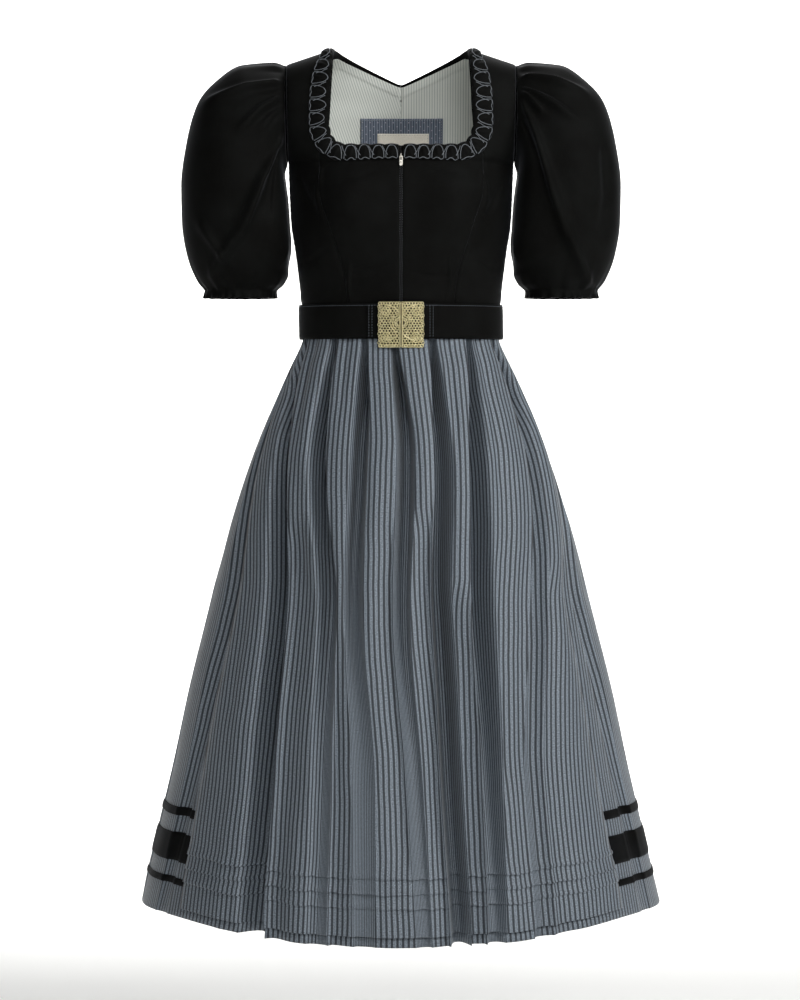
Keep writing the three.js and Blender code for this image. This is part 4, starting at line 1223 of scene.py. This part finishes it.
class DIRNDL_OT_sleeves(bpy.types.Operator):
    """Gathers the two puff sleeves into their armholes and cuffs"""

    bl_idname = "dirndl.sleeves"
    bl_label = "Puff sleeves"

    def execute(self, context):
        for word, side, creases, salt in (("left", 1, CREASES_LEFT, 1), ("right", -1, CREASES_RIGHT, 5)):
            piece = self.sleeve(word, side, creases, salt)
            dress(piece, "black_cotton_velvet", [f"sleeve_{word}"])
            thicken(piece, context.scene.dirndl_sizes.velvet)
        return {"FINISHED"}

    @staticmethod
    def sleeve(word, side, creases, salt):
        columns, rows = 220, 100
        last = len(SLEEVE) - 1
        head = gathers(HEAD_GATHERS, -2, 2, 0.25, salt, ((0.075, 0.05), (1.6, 2.6), (2.2, 2)))
        cuff = gathers(CUFF_GATHERS, 0, 2 * math.pi, 0, salt, ((0.07, 0.03), (1.2, 2), (1.4, 1.2)))
        elastic = last - 1
        points, uvs = [], []
        for r in range(rows + 1):
            v = last * r / rows
            cx, cz, along, half, depth, wrap = sleeve_ring(v)
            line, marks = [], []
            for c in range(columns + 1):
                a = 2 * math.pi * c / columns
                inner = wrap / 9 if math.cos(a) < 0 else 0
                power = 2 / (2 + inner)
                cos_part = math.copysign(abs(math.cos(a)) ** power, math.cos(a))
                sin_part = math.copysign(abs(math.sin(a)) ** power, math.sin(a))
                around = math.copysign(min(abs(a), 2 * math.pi - abs(a)), math.sin(a)) if a > math.pi else a
                lift = gather_height(around, v, head)
                lift += gather_height(a, max(0, elastic - v), cuff)
                if v > elastic:
                    lift += 1.8 * (v - elastic) * math.sin(23 * a + 2 * math.sin(5 * a))
                x0 = cx + along.x * cos_part * half
                z0 = cz + along.y * cos_part * half
                fade = clamp(v * 1.5, 0, 1) * clamp((last - v) * 0.6, 0, 1)
                near = 0.35 if math.cos(a) < -0.55 else 1
                creased = crease_height(x0, z0, creases["back" if sin_part > 0 else "front"])
                lift += SLEEVE_CREASE_GAIN * creased * fade
                lift *= near * clamp(v * 1.2, 0, 1)
                depth_here = sin_part * (depth + lift)
                reach = wrap * min(1, (depth_here / 45) ** 2) * max(0, -math.cos(a)) ** 0.5
                across = cos_part * (half + lift)
                line.append((side * (cx + along.x * across - reach), depth_here, cz + along.y * across))
                marks.append((a * 0.08, v * 0.03))
            points.append(line)
            uvs.append(marks)
        return cloth_grid(f"sleeve_velvet_{word}", points, uvs, (side * 215, 0, -160), closed=True)


# ---------------------------------------------------------------------------------------
# Belt


def ring_point(angle, z, half_width, front, back, lift):
    """A point of an oval ring, lifted off it. Angle 0 is the front, and 90 the left side."""
    a = math.radians(angle)
    depth = front if math.cos(a) > 0 else back
    x = half_width * math.sin(a)
    y = -depth * math.cos(a)
    normal = Vector((x / half_width**2, y / depth**2, 0)).normalized()
    return Vector((x, y, z)) + normal * lift


def belt_point(angle, z, lift):
    return ring_point(angle, z, BELT_HALF_WIDTH, BELT_FRONT, BELT_BACK, lift)


class DIRNDL_OT_belt(bpy.types.Operator):
    """Sews the velvet belt with its turned ends"""

    bl_idname = "dirndl.belt"
    bl_label = "Belt"

    def execute(self, context):
        columns, rows = 480, 14
        points = []
        for r in range(rows + 1):
            z = lerp(BELT_BOTTOM_Z, BELT_TOP_Z, r / rows)
            edge = min(z - BELT_BOTTOM_Z, BELT_TOP_Z - z)
            line = []
            for c in range(columns + 1):
                angle = lerp(2.4, 357.6, c / columns)
                bearing = min(angle, 360 - angle)
                turned = clamp((BELT_FOLD_ANGLE - bearing) / 0.6 + 0.5, 0, 1)
                wave = 0.35 * math.sin(math.radians(angle) * 9 + 0.05 * z) * clamp((bearing - 22) / 10, 0, 1)
                seam = -0.35 * bump(BELT_TOP_Z - 3 - z, 0.9)
                lift = turned * (BELT_FOLD_HEIGHT - 0.1) + wave - 0.7 * bump(edge, 1.2) + seam
                line.append(tuple(belt_point(angle, z, lift)))
            points.append(line)
        piece = cloth_grid("belt_velvet", points, flat_uvs(points), (0, 0, -344))
        dress(piece, "black_cotton_velvet", ["belt"])
        thicken(piece, BELT_WALL)
        top = []
        for k in range(401):
            angle = lerp(3, 357, k / 400)
            top.append(tuple(belt_point(angle, BELT_TOP_Z - 2.6, self.height(angle))))
        ends = []
        levels = [lerp(BELT_BOTTOM_Z + 2, BELT_TOP_Z - 2, k / 12) for k in range(13)]
        for sign in (1, -1):
            for angle in (BELT_FOLD_ANGLE - 1.4, BELT_FOLD_ANGLE - 3.2):
                ends.append([tuple(belt_point(sign * angle, z, BELT_FOLD_HEIGHT)) for z in levels])
        dress(stitches("belt_stitches", [top, *ends], 2.6, 0.9, 0.65), "grey_sewing_thread")
        return {"FINISHED"}

    @staticmethod
    def height(angle):
        return BELT_FOLD_HEIGHT if min(angle, 360 - angle) < BELT_FOLD_ANGLE else 0.05


# ---------------------------------------------------------------------------------------
# Clasp


def clasp_place(x, z, out):
    """A point in front of the belt, "out" from the back of the clasp."""
    return (x, -CLASP_SEAT * math.sqrt(1 - (x / BELT_HALF_WIDTH) ** 2) - out, z)


def loop(x, z, radius, out, count):
    """Points round a circle."""
    turns = [2 * math.pi * (k / count) for k in range(count)]
    return [clasp_place(x + radius * math.cos(a), z + radius * math.sin(a), out) for a in turns]


class DIRNDL_OT_clasp(bpy.types.Operator):
    """Casts the two openwork halves of the clasp"""

    bl_idname = "dirndl.clasp"
    bl_label = "Clasp"

    def execute(self, context):
        for word, side in (("left", 1), ("right", -1)):
            self.half(word, side)
        return {"FINISHED"}

    def half(self, word, side):
        middle = (CLASP_TOP_Z + CLASP_BOTTOM_Z) / 2
        height = CLASP_TOP_Z - CLASP_BOTTOM_Z
        rosette = (0.6, middle + 0.04 * height, 12.4)
        corners = [(19.4, CLASP_TOP_Z - 12.2, 5.6), (19.0, CLASP_BOTTOM_Z + 12.6, 6.2)]
        rings, arcs = [], []
        pitch = 3.9
        rows = int(height / (pitch * 0.87))
        for r in range(rows + 1):
            z = lerp(CLASP_BOTTOM_Z + 2, CLASP_TOP_Z - 2, r / rows)
            shift = pitch / 2 if r % 2 else 0
            for c in range(8):
                x = 3.0 + shift + c * pitch + 0.4 * (uneven(9 * r + c, side) - 0.5)
                if x > CLASP_HALF_WIDTH - 2.4:
                    continue
                if math.hypot(x - rosette[0], z - rosette[1]) < rosette[2] - 4.5:
                    continue
                size = 1.66 + 0.2 * uneven(9 * r + c, 3)
                rings.append(loop(side * x, z, size, 1.3 + 0.5 * uneven(9 * r + c, 5), 8))
        # Looped edge: larger rings stand out beyond the plate.
        for k in range(15):
            z = lerp(CLASP_BOTTOM_Z + 2.2, CLASP_TOP_Z - 2.2, k / 14)
            reach = CLASP_HALF_WIDTH - 2.3 + (0.9 if k % 3 == 1 else 0)
            rings.append(loop(side * reach, z, 1.75, 1.9, 10))
        for k in range(8):
            x = lerp(2.2, CLASP_HALF_WIDTH - 2.6, k / 7)
            for z in (CLASP_BOTTOM_Z + 1.9, CLASP_TOP_Z - 1.9):
                rings.append(loop(side * x, z, 1.8, 1.9, 10))
        # Half rosette in rising steps towards the middle, and a ring of petals round it.
        for k in range(4):
            radius = rosette[2] - 2.9 * k
            arcs.append(self.arc(side, rosette, radius, 2.2 + 0.3 * k))
        for k in range(6):
            a = math.radians(-75 + 30 * k)
            x = rosette[0] + 6.2 * math.cos(a)
            rings.append(loop(side * x, rosette[1] + 6.2 * math.sin(a), 1.1, 3.0, 8))
        for x, z, radius in corners:
            circle = loop(side * x, z, radius, 2.5, 26)
            arcs.append(circle + circle[:1])
            for k in range(5):
                a = 2 * math.pi * k / 5 + 0.3
                rings.append(loop(side * (x + 2.9 * math.cos(a)), z + 2.9 * math.sin(a), 1.4, 2.5, 8))
        # Scrolls that lead from the rosette to the corners.
        for sign in (1, -1):
            for k in range(3):
                scroll = []
                for t in (0, 0.2, 0.4, 0.6, 0.8, 1):
                    z = rosette[1] + sign * (13.5 + 2.4 * k + 9 * t * (1 - 0.25 * k))
                    scroll.append(clasp_place(side * (3 + 2.8 * k + 12 * t * t), z, 2.2))
                arcs.append(scroll)
        levels = [lerp(CLASP_BOTTOM_Z + 1.5, CLASP_TOP_Z - 1.5, k / 20) for k in range(21)]
        rail = [clasp_place(side * 1.5, z, 2.0) for z in levels]
        plate = self.plate(word, side, rosette)
        dress(plate, "darkened_brass_recess", [f"clasp_{word}"])
        small = wires(f"clasp_rings_{word}", rings, 0.48, rings=True)
        large = wires(f"clasp_scrolls_{word}", arcs, 0.6)
        bar = wires(f"clasp_rail_{word}", [rail], 1.1, sides=3)
        for piece in (small, large, bar):
            dress(piece, "aged_brass_casting")

    @staticmethod
    def arc(side, rosette, radius, out):
        x, z, _ = rosette
        points = []
        for k in range(17):
            a = math.radians(-84 + 168 * k / 16)
            points.append(clasp_place(side * (x + 1 + radius * math.cos(a)), z + radius * math.sin(a), out))
        return points

    @staticmethod
    def plate(word, side, rosette):
        """The cast back of the half, dark between the bright openwork."""
        bm = bmesh.new()
        bmesh.ops.create_grid(bm, x_segments=24, y_segments=48, size=1)
        for vert in bm.verts:
            x = lerp(0.5, CLASP_HALF_WIDTH - 2.6, (vert.co.x + 1) / 2)
            z = lerp(CLASP_BOTTOM_Z + 1.6, CLASP_TOP_Z - 1.6, (vert.co.y + 1) / 2)
            dome = 1.1 * bump(math.hypot(x - rosette[0], z - rosette[1]), 7)
            vert.co = Vector(clasp_place(side * x, z, 0.8 + dome)) * MM
        bm.normal_update()
        if sum(face.normal.y for face in bm.faces) > 0:
            bmesh.ops.reverse_faces(bm, faces=bm.faces)
        piece = new_object(f"clasp_plate_{word}", bm)
        return thicken(piece, PLATE_WALL)


# ---------------------------------------------------------------------------------------
# Zip


class DIRNDL_OT_zip(bpy.types.Operator):
    """Finishes the zip: tape, teeth, slider and pull tab"""

    bl_idname = "dirndl.zip"
    bl_label = "Centre-front zip"

    def execute(self, context):
        nodes = frame["nodes"]
        for name, finish in (
            ("zip_tape", "black_zip_tape"),
            ("zip_slider", "zinc_alloy_zip"),
            ("zip_pull", "zinc_alloy_zip"),
        ):
            nodes[name].data.materials.clear()
            nodes[name].data.materials.append(material(finish))
        for name in ("zip_slider", "zip_pull"):
            join = nodes[name].modifiers.new("Join", "WELD")
            join.merge_threshold = 0.00001
            edge = nodes[name].modifiers.new("Rounded edges", "BEVEL")
            edge.width = 0.00022
            edge.segments = 2
            edge.limit_method = "ANGLE"
        bm = bmesh.new()
        pitch = 1.5
        count = int((FRONT_NECK_Z - 6 - BODICE_HEM_Z) / pitch)
        for k in range(count):
            z = BODICE_HEM_Z + 2 + pitch * k
            place = Vector((0.45 if k % 2 else -0.45, body_y(0, z, False) + 1.2, z)) * MM
            size = Matrix.Diagonal((0.0022, 0.0009, 0.0007, 1))
            bmesh.ops.create_cube(bm, size=1, matrix=Matrix.Translation(place) @ size)
        dress(new_object("zip_teeth", bm), "black_zip_tape")
        # Stitches on both sides of the zip. Their thread is painted light grey, as a painted highlight along
        # the seam's edge.
        edges = []
        for x in (-1.5, 1.5):
            levels = [lerp(BODICE_HEM_Z + 20, FRONT_NECK_Z - 16, k / 90) for k in range(91)]
            edges.append([tuple(body_point(x + 0.2 * math.sin(z * 0.2), z, False, 0.1)) for z in levels])
        dress(stitches("zip_stitches", edges, 2.2, 0.8, 0.55), "black_sewing_thread")
        return {"FINISHED"}


# ---------------------------------------------------------------------------------------
# Skirt, ribbons and apron share one pleated form.


def pleat_value(values, z):
    return smooth_at(PLEAT_LEVELS, values, z)


def level_at(angle, z):
    """A level after the hem's dip at the front and its lift beside it."""
    share = clamp((-z - 700) / 406, 0, 1)
    dip = max(0, math.cos(math.radians(angle))) ** 2
    off = min(abs(angle), abs(angle - 360)) - HEM_LIFT_BEARING
    return z + (HEM_SIDE_LIFT * bump(off, 20) - HEM_FRONT_DIP * dip) * share


class SkirtRow:
    """All that the pleats are at one level."""

    def __init__(self, z):
        self.z = z
        self.half = column(SKIRT_LINE, 1, z)
        # The oval opens from the belt's to a nearly round hem.
        self.front = 0.9455 * self.half - 25.3
        self.back = 0.94 * self.half - 29
        self.pleats = [
            (pleat_value(at, z), pleat_value(depth, z), pleat_value(flank, z), lean)
            for _, at, depth, flank, lean in PLEATS
        ]
        self.swell = clamp((-z - 367) / 100, 0, 1)

    def turned(self, angle, distance):
        """The bearing a distance along the ring from another."""
        a = math.radians(angle)
        radius = math.hypot(self.half * math.cos(a), self.front * math.sin(a))
        return angle + math.degrees(distance / radius)

    def panel_ends(self, pleat):
        """The bearings between which the panel after a pleat lies."""
        at, _, flank, _ = self.pleats[pleat]
        after = (pleat + 1) % len(PLEATS)
        wrap = 360 if pleat == LAST_PLEAT else 0
        to, _, next_flank, _ = self.pleats[after]
        return self.turned(at, flank), self.turned(to + wrap, -next_flank)

    def in_trough(self, pleat, u, gain):
        """Bearing and height at a place from -1 to 1 across a trough."""
        at, depth, flank, lean = self.pleats[pleat]
        low = 0.8 * lean
        side = (u + 1) / (1 + low) if u < low else (1 - u) / (1 - low)
        fall = 1 - (1 - clamp(side, 0, 1)) ** 2.4
        gain *= 1 + WAIST_GAIN * bump(self.z + 415, 50)
        bottom = 0.06 * bump(1 - side, 0.12)
        crest = 0.9 * self.swell * bump((1 - abs(u)) * flank, 3.0)
        return self.turned(at, u * flank), -depth * gain * (fall - bottom) + crest

    def on_panel(self, pleat, t, shift=0.0):
        """Bearing and height at a share of the way across a panel."""
        start, end = self.panel_ends(pleat)
        length = max(1, abs(end - start) * math.radians(1) * (self.half + self.front) / 2)
        height = PANEL_BULGE * self.swell * 4 * t * (1 - t)
        height += 0.9 * self.swell * bump(min(t, 1 - t) * length, 3.0)
        for owner, share, upper, lower, rise, width in LESSER_FOLDS:
            if owner == pleat:
                fade = faded(self.z, upper, lower, 60) * min(1, length / 20)
                height += rise * bump((t - share) * length, width) * fade
        return self.turned(lerp(start, end, t), shift), height

    def point(self, angle, lift):
        return ring_point(angle, level_at(angle, self.z), self.half, self.front, self.back, lift)


def skirt_places(first, last, in_trough, on_panel):
    """Columns over troughs first to last and the panels between them."""
    places = []
    for i in range(first, last + 1):
        count = in_trough(i)
        places += [("trough", i, 2 * k / (count - 1) - 1) for k in range(count)]
        if i < last:
            fill = on_panel(i)
            places += [("panel", i, (k + 1) / (fill + 1)) for k in range(fill)]
    return places


def panel_part(pleat, start, end, count, first=False, shift=0.0):
    """Columns over part of a panel. The first or last one may be shifted for a seam."""
    places = []
    for k in range(count + 1):
        t = lerp(start, end, k / count)
        at_seam = k == 0 if first else k == count
        places.append(("panel", pleat, t, shift if at_seam else 0.0))
    return places


def cloth_rows(places, rows, lift_of, edge_of=None):
    """Points of a skirt-like cloth, and its U: cloth keeps its width in every row, and what
    a row has no room for is hidden in the troughs."""
    points = []
    for z in rows:
        row = SkirtRow(z)
        line = []
        for c, place in enumerate(places):
            if place[0] == "trough":
                gain = SIDE_GAIN if place[1] in (0, LAST_FRONT_PLEAT) else FOLD_GAIN
                angle, height = row.in_trough(place[1], place[2], gain)
            elif place[0] == "panel":
                angle, height = row.on_panel(place[1], place[2], place[3] if len(place) > 3 else 0.0)
            else:
                angle, height = edge_of(row, place)
            line.append(row.point(angle, height + lift_of(row.z, c, angle)))
        points.append(line)
    middles = [c for c, place in enumerate(places) if place[0] == "trough" and abs(place[2]) < 1e-6]
    runs = [run_lengths(line) for line in points]
    full = [max(run[b] - run[a] for run in runs) for a, b in zip(middles, middles[1:])]
    marks = [0.0]
    for length in full:
        marks.append(marks[-1] + length)
    uvs = []
    for r, run in enumerate(runs):
        line = []
        for c, place in enumerate(places):
            j = 0
            while j < len(middles) - 2 and c >= middles[j + 1]:
                j += 1
            if c < middles[0]:
                u = run[c] - run[middles[0]]
            elif c > middles[-1]:
                u = marks[-1] + run[c] - run[middles[-1]]
            else:
                hidden = full[j] - (run[middles[j + 1]] - run[middles[j]])
                share = 0.5
                if place[0] == "trough":
                    share = 0.5 * place[2] if c < (middles[j] + middles[j + 1]) / 2 else 1 + 0.5 * place[2]
                u = marks[j] + run[c] - run[middles[j]] + hidden * share
            line.append((u * MM, rows[r] * MM))
        uvs.append(line)
    return points, uvs


def even_rows(top, bottom, count):
    """Levels from top to bottom, a little closer at the top."""
    return [lerp(top, bottom, (k / count) ** 1.08) for k in range(count + 1)]


def cloth_unevenness(z, angle):
    """Small slow swells of hanging cloth."""
    depth = clamp((-z - 380) / 200, 0, 1)
    a = math.radians(angle)
    return depth * (0.7 * math.sin(11 * a + z * 0.011) + 0.5 * math.sin(23 * a - z * 0.017 + 1.3))


class DIRNDL_OT_skirt(bpy.types.Operator):
    """Hangs the pleated skirt, front and back, and its velvet ribbons"""

    bl_idname = "dirndl.skirt"
    bl_label = "Skirt and ribbons"

    def execute(self, context):
        wall = context.scene.dirndl_sizes.cotton
        shift = SEAM_GAP / 2
        rows = even_rows(-344, HEM_SIDE_Z, 118)

        def in_trough(i):
            return 9 if FIRST_APRON_PLEAT <= i <= LAST_APRON_PLEAT else 23

        def on_panel(i):
            return 22 if i in (0, LAST_APRON_PLEAT) else 7

        front = (
            panel_part(LAST_PLEAT, 0.5, 0.96, 8, first=True, shift=shift)
            + skirt_places(0, LAST_FRONT_PLEAT, in_trough, on_panel)
            + panel_part(LAST_FRONT_PLEAT, 0.04, 0.5, 8, shift=-shift)
        )
        back = (
            panel_part(LAST_FRONT_PLEAT, 0.5, 0.96, 8, first=True, shift=shift)
            + skirt_places(LAST_FRONT_PLEAT + 1, LAST_PLEAT, lambda i: 19, lambda i: 12)
            + panel_part(LAST_PLEAT, 0.04, 0.5, 8, shift=-shift)
        )
        for word, places in (("front", front), ("back", back)):
            points, uvs = cloth_rows(places, rows, lambda z, c, angle: 0.4 * cloth_unevenness(z, angle))
            piece = cloth_grid(f"skirt_cotton_{word}", points, uvs, INSIDE_SKIRT)
            dress(piece, "striped_yarn_dyed_cotton", [f"skirt_{word}"])
            thicken(piece, wall)
        self.ribbons()
        return {"FINISHED"}

    @staticmethod
    def ribbons():
        around = (
            panel_part(LAST_APRON_PLEAT, 0.3, 0.96, 12)
            + skirt_places(LAST_FRONT_PLEAT, LAST_PLEAT, lambda i: 19, lambda i: 12)
            + panel_part(LAST_PLEAT, 0.04, 0.96, 12)
            + skirt_places(0, 0, lambda i: 19, lambda i: 0)
            + panel_part(0, 0.04, 0.7, 12)
        )
        for name, low, high in RIBBONS:
            count = 4 if high - low < 15 else 8
            levels = [HEM_SIDE_Z + lerp(high, low, k / count) for k in range(count + 1)]

            def raised(z, c, angle, low=low, high=high):
                edge = min(z - HEM_SIDE_Z - low, HEM_SIDE_Z + high - z)
                return 1.5 - 0.6 * bump(edge, 1.0) + 0.4 * cloth_unevenness(z, angle)

            points, _ = cloth_rows(around, levels, raised)
            inside = (0, 0, HEM_SIDE_Z + (low + high) / 2)
            piece = cloth_grid(f"{name}_velvet", points, flat_uvs(points), inside)
            dress(piece, "black_velvet_ribbon", [name])
            thicken(piece, RIBBON_WALL)


def tuck_rows():
    """Levels of the apron with each tuck's share of its full height, from top to hem."""
    hem = HEM_SIDE_Z + APRON_ABOVE_HEM
    rows = [(z, 0.0) for z in even_rows(-346, hem + TUCKS[0] + 14, 92)]
    for above in TUCKS:
        edge = hem + above
        rows += [
            (edge + 11, 0.12),
            (edge + 7, 0.4),
            (edge + 3.5, 0.72),
            (edge + 1.2, 0.95),
            (edge + 0.3, 1.0),
            (edge - 0.1, 0.8),
            (edge - 0.3, 0.0),
            (edge - 1.6, -0.12),
        ]
    last = hem + TUCKS[-1]
    rows += [(lerp(last - 4, hem + 1.5, k / 6), 0.0) for k in range(7)]
    rows += [(hem + 0.4, -0.1), (hem, -0.35)]
    return rows


class DIRNDL_OT_apron(bpy.types.Operator):
    """Hangs the apron with its three tucks over the skirt"""

    bl_idname = "dirndl.apron"
    bl_label = "Apron"

    def execute(self, context):
        places = (
            [("edge_right", 0, k / 14) for k in range(14)]
            + skirt_places(FIRST_APRON_PLEAT, LAST_APRON_PLEAT, lambda i: 21, lambda i: 17)
            + [("edge_left", LAST_APRON_PLEAT, (k + 1) / 14) for k in range(14)]
        )
        rows = tuck_rows()
        tuck_of = dict(rows)

        def edge_of(row, place):
            word, pleat, t = place
            start, end = row.panel_ends(pleat)
            if word == "edge_right":
                angle = lerp(pleat_value(APRON_EDGE_RIGHT, row.z), end, t)
            else:
                angle = lerp(start, pleat_value(APRON_EDGE_LEFT, row.z), t)
            return row.on_panel(pleat, (angle - start) / (end - start))

        def lifted(z, c, angle):
            base = lerp(2.1, APRON_LIFT, clamp((-z - 380) / 80, 0, 1))
            fullness = 0.72 + 0.5 * math.sin(angle * 0.21 + z * 0.9) * math.sin(angle * 0.093 + 2)
            tuck = TUCK_HEIGHT * tuck_of[z] * clamp(fullness, 0.4, 1.1)
            side = min(c, len(places) - 1 - c)
            corner = -0.9 * bump(side, 1.4)
            return base + tuck + corner + 0.4 * cloth_unevenness(z, angle)

        points, uvs = cloth_rows(places, [z for z, _ in rows], lifted, edge_of)
        for line in points:
            if line[0].z > HEM_SIDE_Z + 90 or line[0].z < HEM_SIDE_Z + 30:
                continue
            for c, point in enumerate(line):
                point.z += 0.5 * math.sin(c * 0.37) + 0.35 * math.sin(c * 0.91 + 1)
        piece = cloth_grid("apron_cotton", points, uvs, (0, 300, -700))
        dress(piece, "striped_yarn_dyed_cotton", ["apron"])
        thicken(piece, context.scene.dirndl_sizes.cotton)
        return {"FINISHED"}


# ---------------------------------------------------------------------------------------
# Stage


class DIRNDL_OT_stage(bpy.types.Operator):
    """Sets the pale sweep, the soft lights and the camera"""

    bl_idname = "dirndl.stage"
    bl_label = "Stage"

    def execute(self, context):
        self.sweep()
        for name, (place, aim, size, power) in LIGHTS.items():
            lamp = bpy.data.lights.new(name, "AREA")
            lamp.shape = "DISK"
            lamp.size = size
            lamp.energy = power
            made = bpy.data.objects.new(name, lamp)
            made.location = place
            made.rotation_euler = (Vector(aim) - Vector(place)).to_track_quat("-Z", "Y").to_euler()
            context.scene.collection.objects.link(made)
        world = bpy.data.worlds.new("Studio")
        world.use_nodes = True
        world.node_tree.nodes["Background"].inputs[0].default_value = (1, 1, 1, 1)
        world.node_tree.nodes["Background"].inputs[1].default_value = 0.06
        context.scene.world = world
        context.scene.view_settings.view_transform = "Standard"
        camera = bpy.data.cameras.new("Camera")
        camera.lens = CAMERA_LENS
        camera.clip_end = 50
        made = bpy.data.objects.new("Camera", camera)
        made.location = CAMERA_PLACE
        made.rotation_euler = (math.radians(90 - CAMERA_DOWN), 0, 0)
        context.scene.collection.objects.link(made)
        context.scene.camera = made
        return {"FINISHED"}

    @staticmethod
    def sweep():
        """Floor and wall in one piece of paper with a wide bend between them."""
        bm = bmesh.new()
        profile = [(-SWEEP_HALF_WIDTH, FLOOR_Z), (SWEEP_Y, FLOOR_Z)]
        for k in range(1, 13):
            a = math.radians(90 * k / 12)
            profile.append((SWEEP_Y + SWEEP_BEND * math.sin(a), FLOOR_Z + SWEEP_BEND * (1 - math.cos(a))))
        profile.append((SWEEP_Y + SWEEP_BEND, SWEEP_TOP))
        verts = [bm.verts.new((-SWEEP_HALF_WIDTH, y, z)) for y, z in profile]
        edges = [bm.edges.new(pair) for pair in zip(verts, verts[1:])]
        made = bmesh.ops.extrude_edge_only(bm, edges=edges)
        new = [item for item in made["geom"] if isinstance(item, bmesh.types.BMVert)]
        bmesh.ops.translate(bm, verts=new, vec=(2 * SWEEP_HALF_WIDTH, 0, 0))
        bm.normal_update()
        if sum(face.normal.z for face in bm.faces) < 0:
            bmesh.ops.reverse_faces(bm, faces=bm.faces)
        floor = new_object("Paper_sweep", bm)
        floor.data.materials.append(studio_paper("white_seamless_paper", linear("#f2f2f0"), 0.16))


# ---------------------------------------------------------------------------------------
# Add-on


class DirndlSizes(bpy.types.PropertyGroup):
    """Sizes that a user would change"""

    velvet: FloatProperty(
        name="Velvet", description="Thickness of the velvet", default=0.0013, unit="LENGTH"
    )
    cotton: FloatProperty(
        name="Cotton", description="Thickness of the striped cotton", default=0.0009, unit="LENGTH"
    )
    lining: FloatProperty(
        name="Lining", description="Thickness of the lining cotton", default=0.0006, unit="LENGTH"
    )
    stripe_repeat: FloatProperty(
        name="Stripe repeat", description="From one dark stripe to the next", default=0.0069, unit="LENGTH"
    )


class DirndlColours(bpy.types.PropertyGroup):
    """Colours that a user would change"""

    velvet: FloatVectorProperty(
        name="Velvet", description="Velvet of bodice, sleeves and belt",
        subtype="COLOR", default=linear("#060605"),
    )
    cotton_light: FloatVectorProperty(
        name="Light stripe", description="Broad bands of the cotton",
        subtype="COLOR", default=linear("#7b858f"),
    )
    cotton_dark: FloatVectorProperty(
        name="Dark stripe", description="Narrow stripes of the cotton",
        subtype="COLOR", default=linear("#2b3036"),
    )
    lining: FloatVectorProperty(
        name="Lining", description="Ground of the lining",
        subtype="COLOR", default=linear("#dfe2db"),
    )
    patch: FloatVectorProperty(
        name="Patch", description="Printed cotton inside the back",
        subtype="COLOR", default=linear("#747d8b"),
    )
    label: FloatVectorProperty(
        name="Label", description="Plain woven label",
        subtype="COLOR", default=linear("#fbf4e6"),
    )
    brass: FloatVectorProperty(
        name="Brass", description="Clasp",
        subtype="COLOR", default=linear("#d9d0a6"),
    )


STEPS = (
    DIRNDL_OT_stage,
    DIRNDL_OT_bodice,
    DIRNDL_OT_lining,
    DIRNDL_OT_neck_trim,
    DIRNDL_OT_sleeves,
    DIRNDL_OT_belt,
    DIRNDL_OT_clasp,
    DIRNDL_OT_zip,
    DIRNDL_OT_skirt,
    DIRNDL_OT_apron,
)


class DIRNDL_PT_panel(bpy.types.Panel):
    """Lists the pieces of the dress"""

    bl_label = "Dirndl"
    bl_idname = "DIRNDL_PT_panel"
    bl_space_type = "VIEW_3D"
    bl_region_type = "UI"
    bl_category = "Dirndl"

    def draw(self, context):
        for group in (context.scene.dirndl_sizes, context.scene.dirndl_colours):
            for name in group.__annotations__:
                self.layout.prop(group, name)
        for step in STEPS:
            self.layout.operator(step.bl_idname)


CLASSES = (DirndlSizes, DirndlColours, *STEPS, DIRNDL_PT_panel)


def register():
    for item in CLASSES:
        bpy.utils.register_class(item)
    bpy.types.Scene.dirndl_sizes = PointerProperty(type=DirndlSizes)
    bpy.types.Scene.dirndl_colours = PointerProperty(type=DirndlColours)


def unregister():
    del bpy.types.Scene.dirndl_colours
    del bpy.types.Scene.dirndl_sizes
    for item in reversed(CLASSES):
        bpy.utils.unregister_class(item)


def main():
    register()
    for step in STEPS:
        getattr(bpy.ops.dirndl, step.bl_idname.split(".")[1])()


if __name__ == "__main__":
    main()
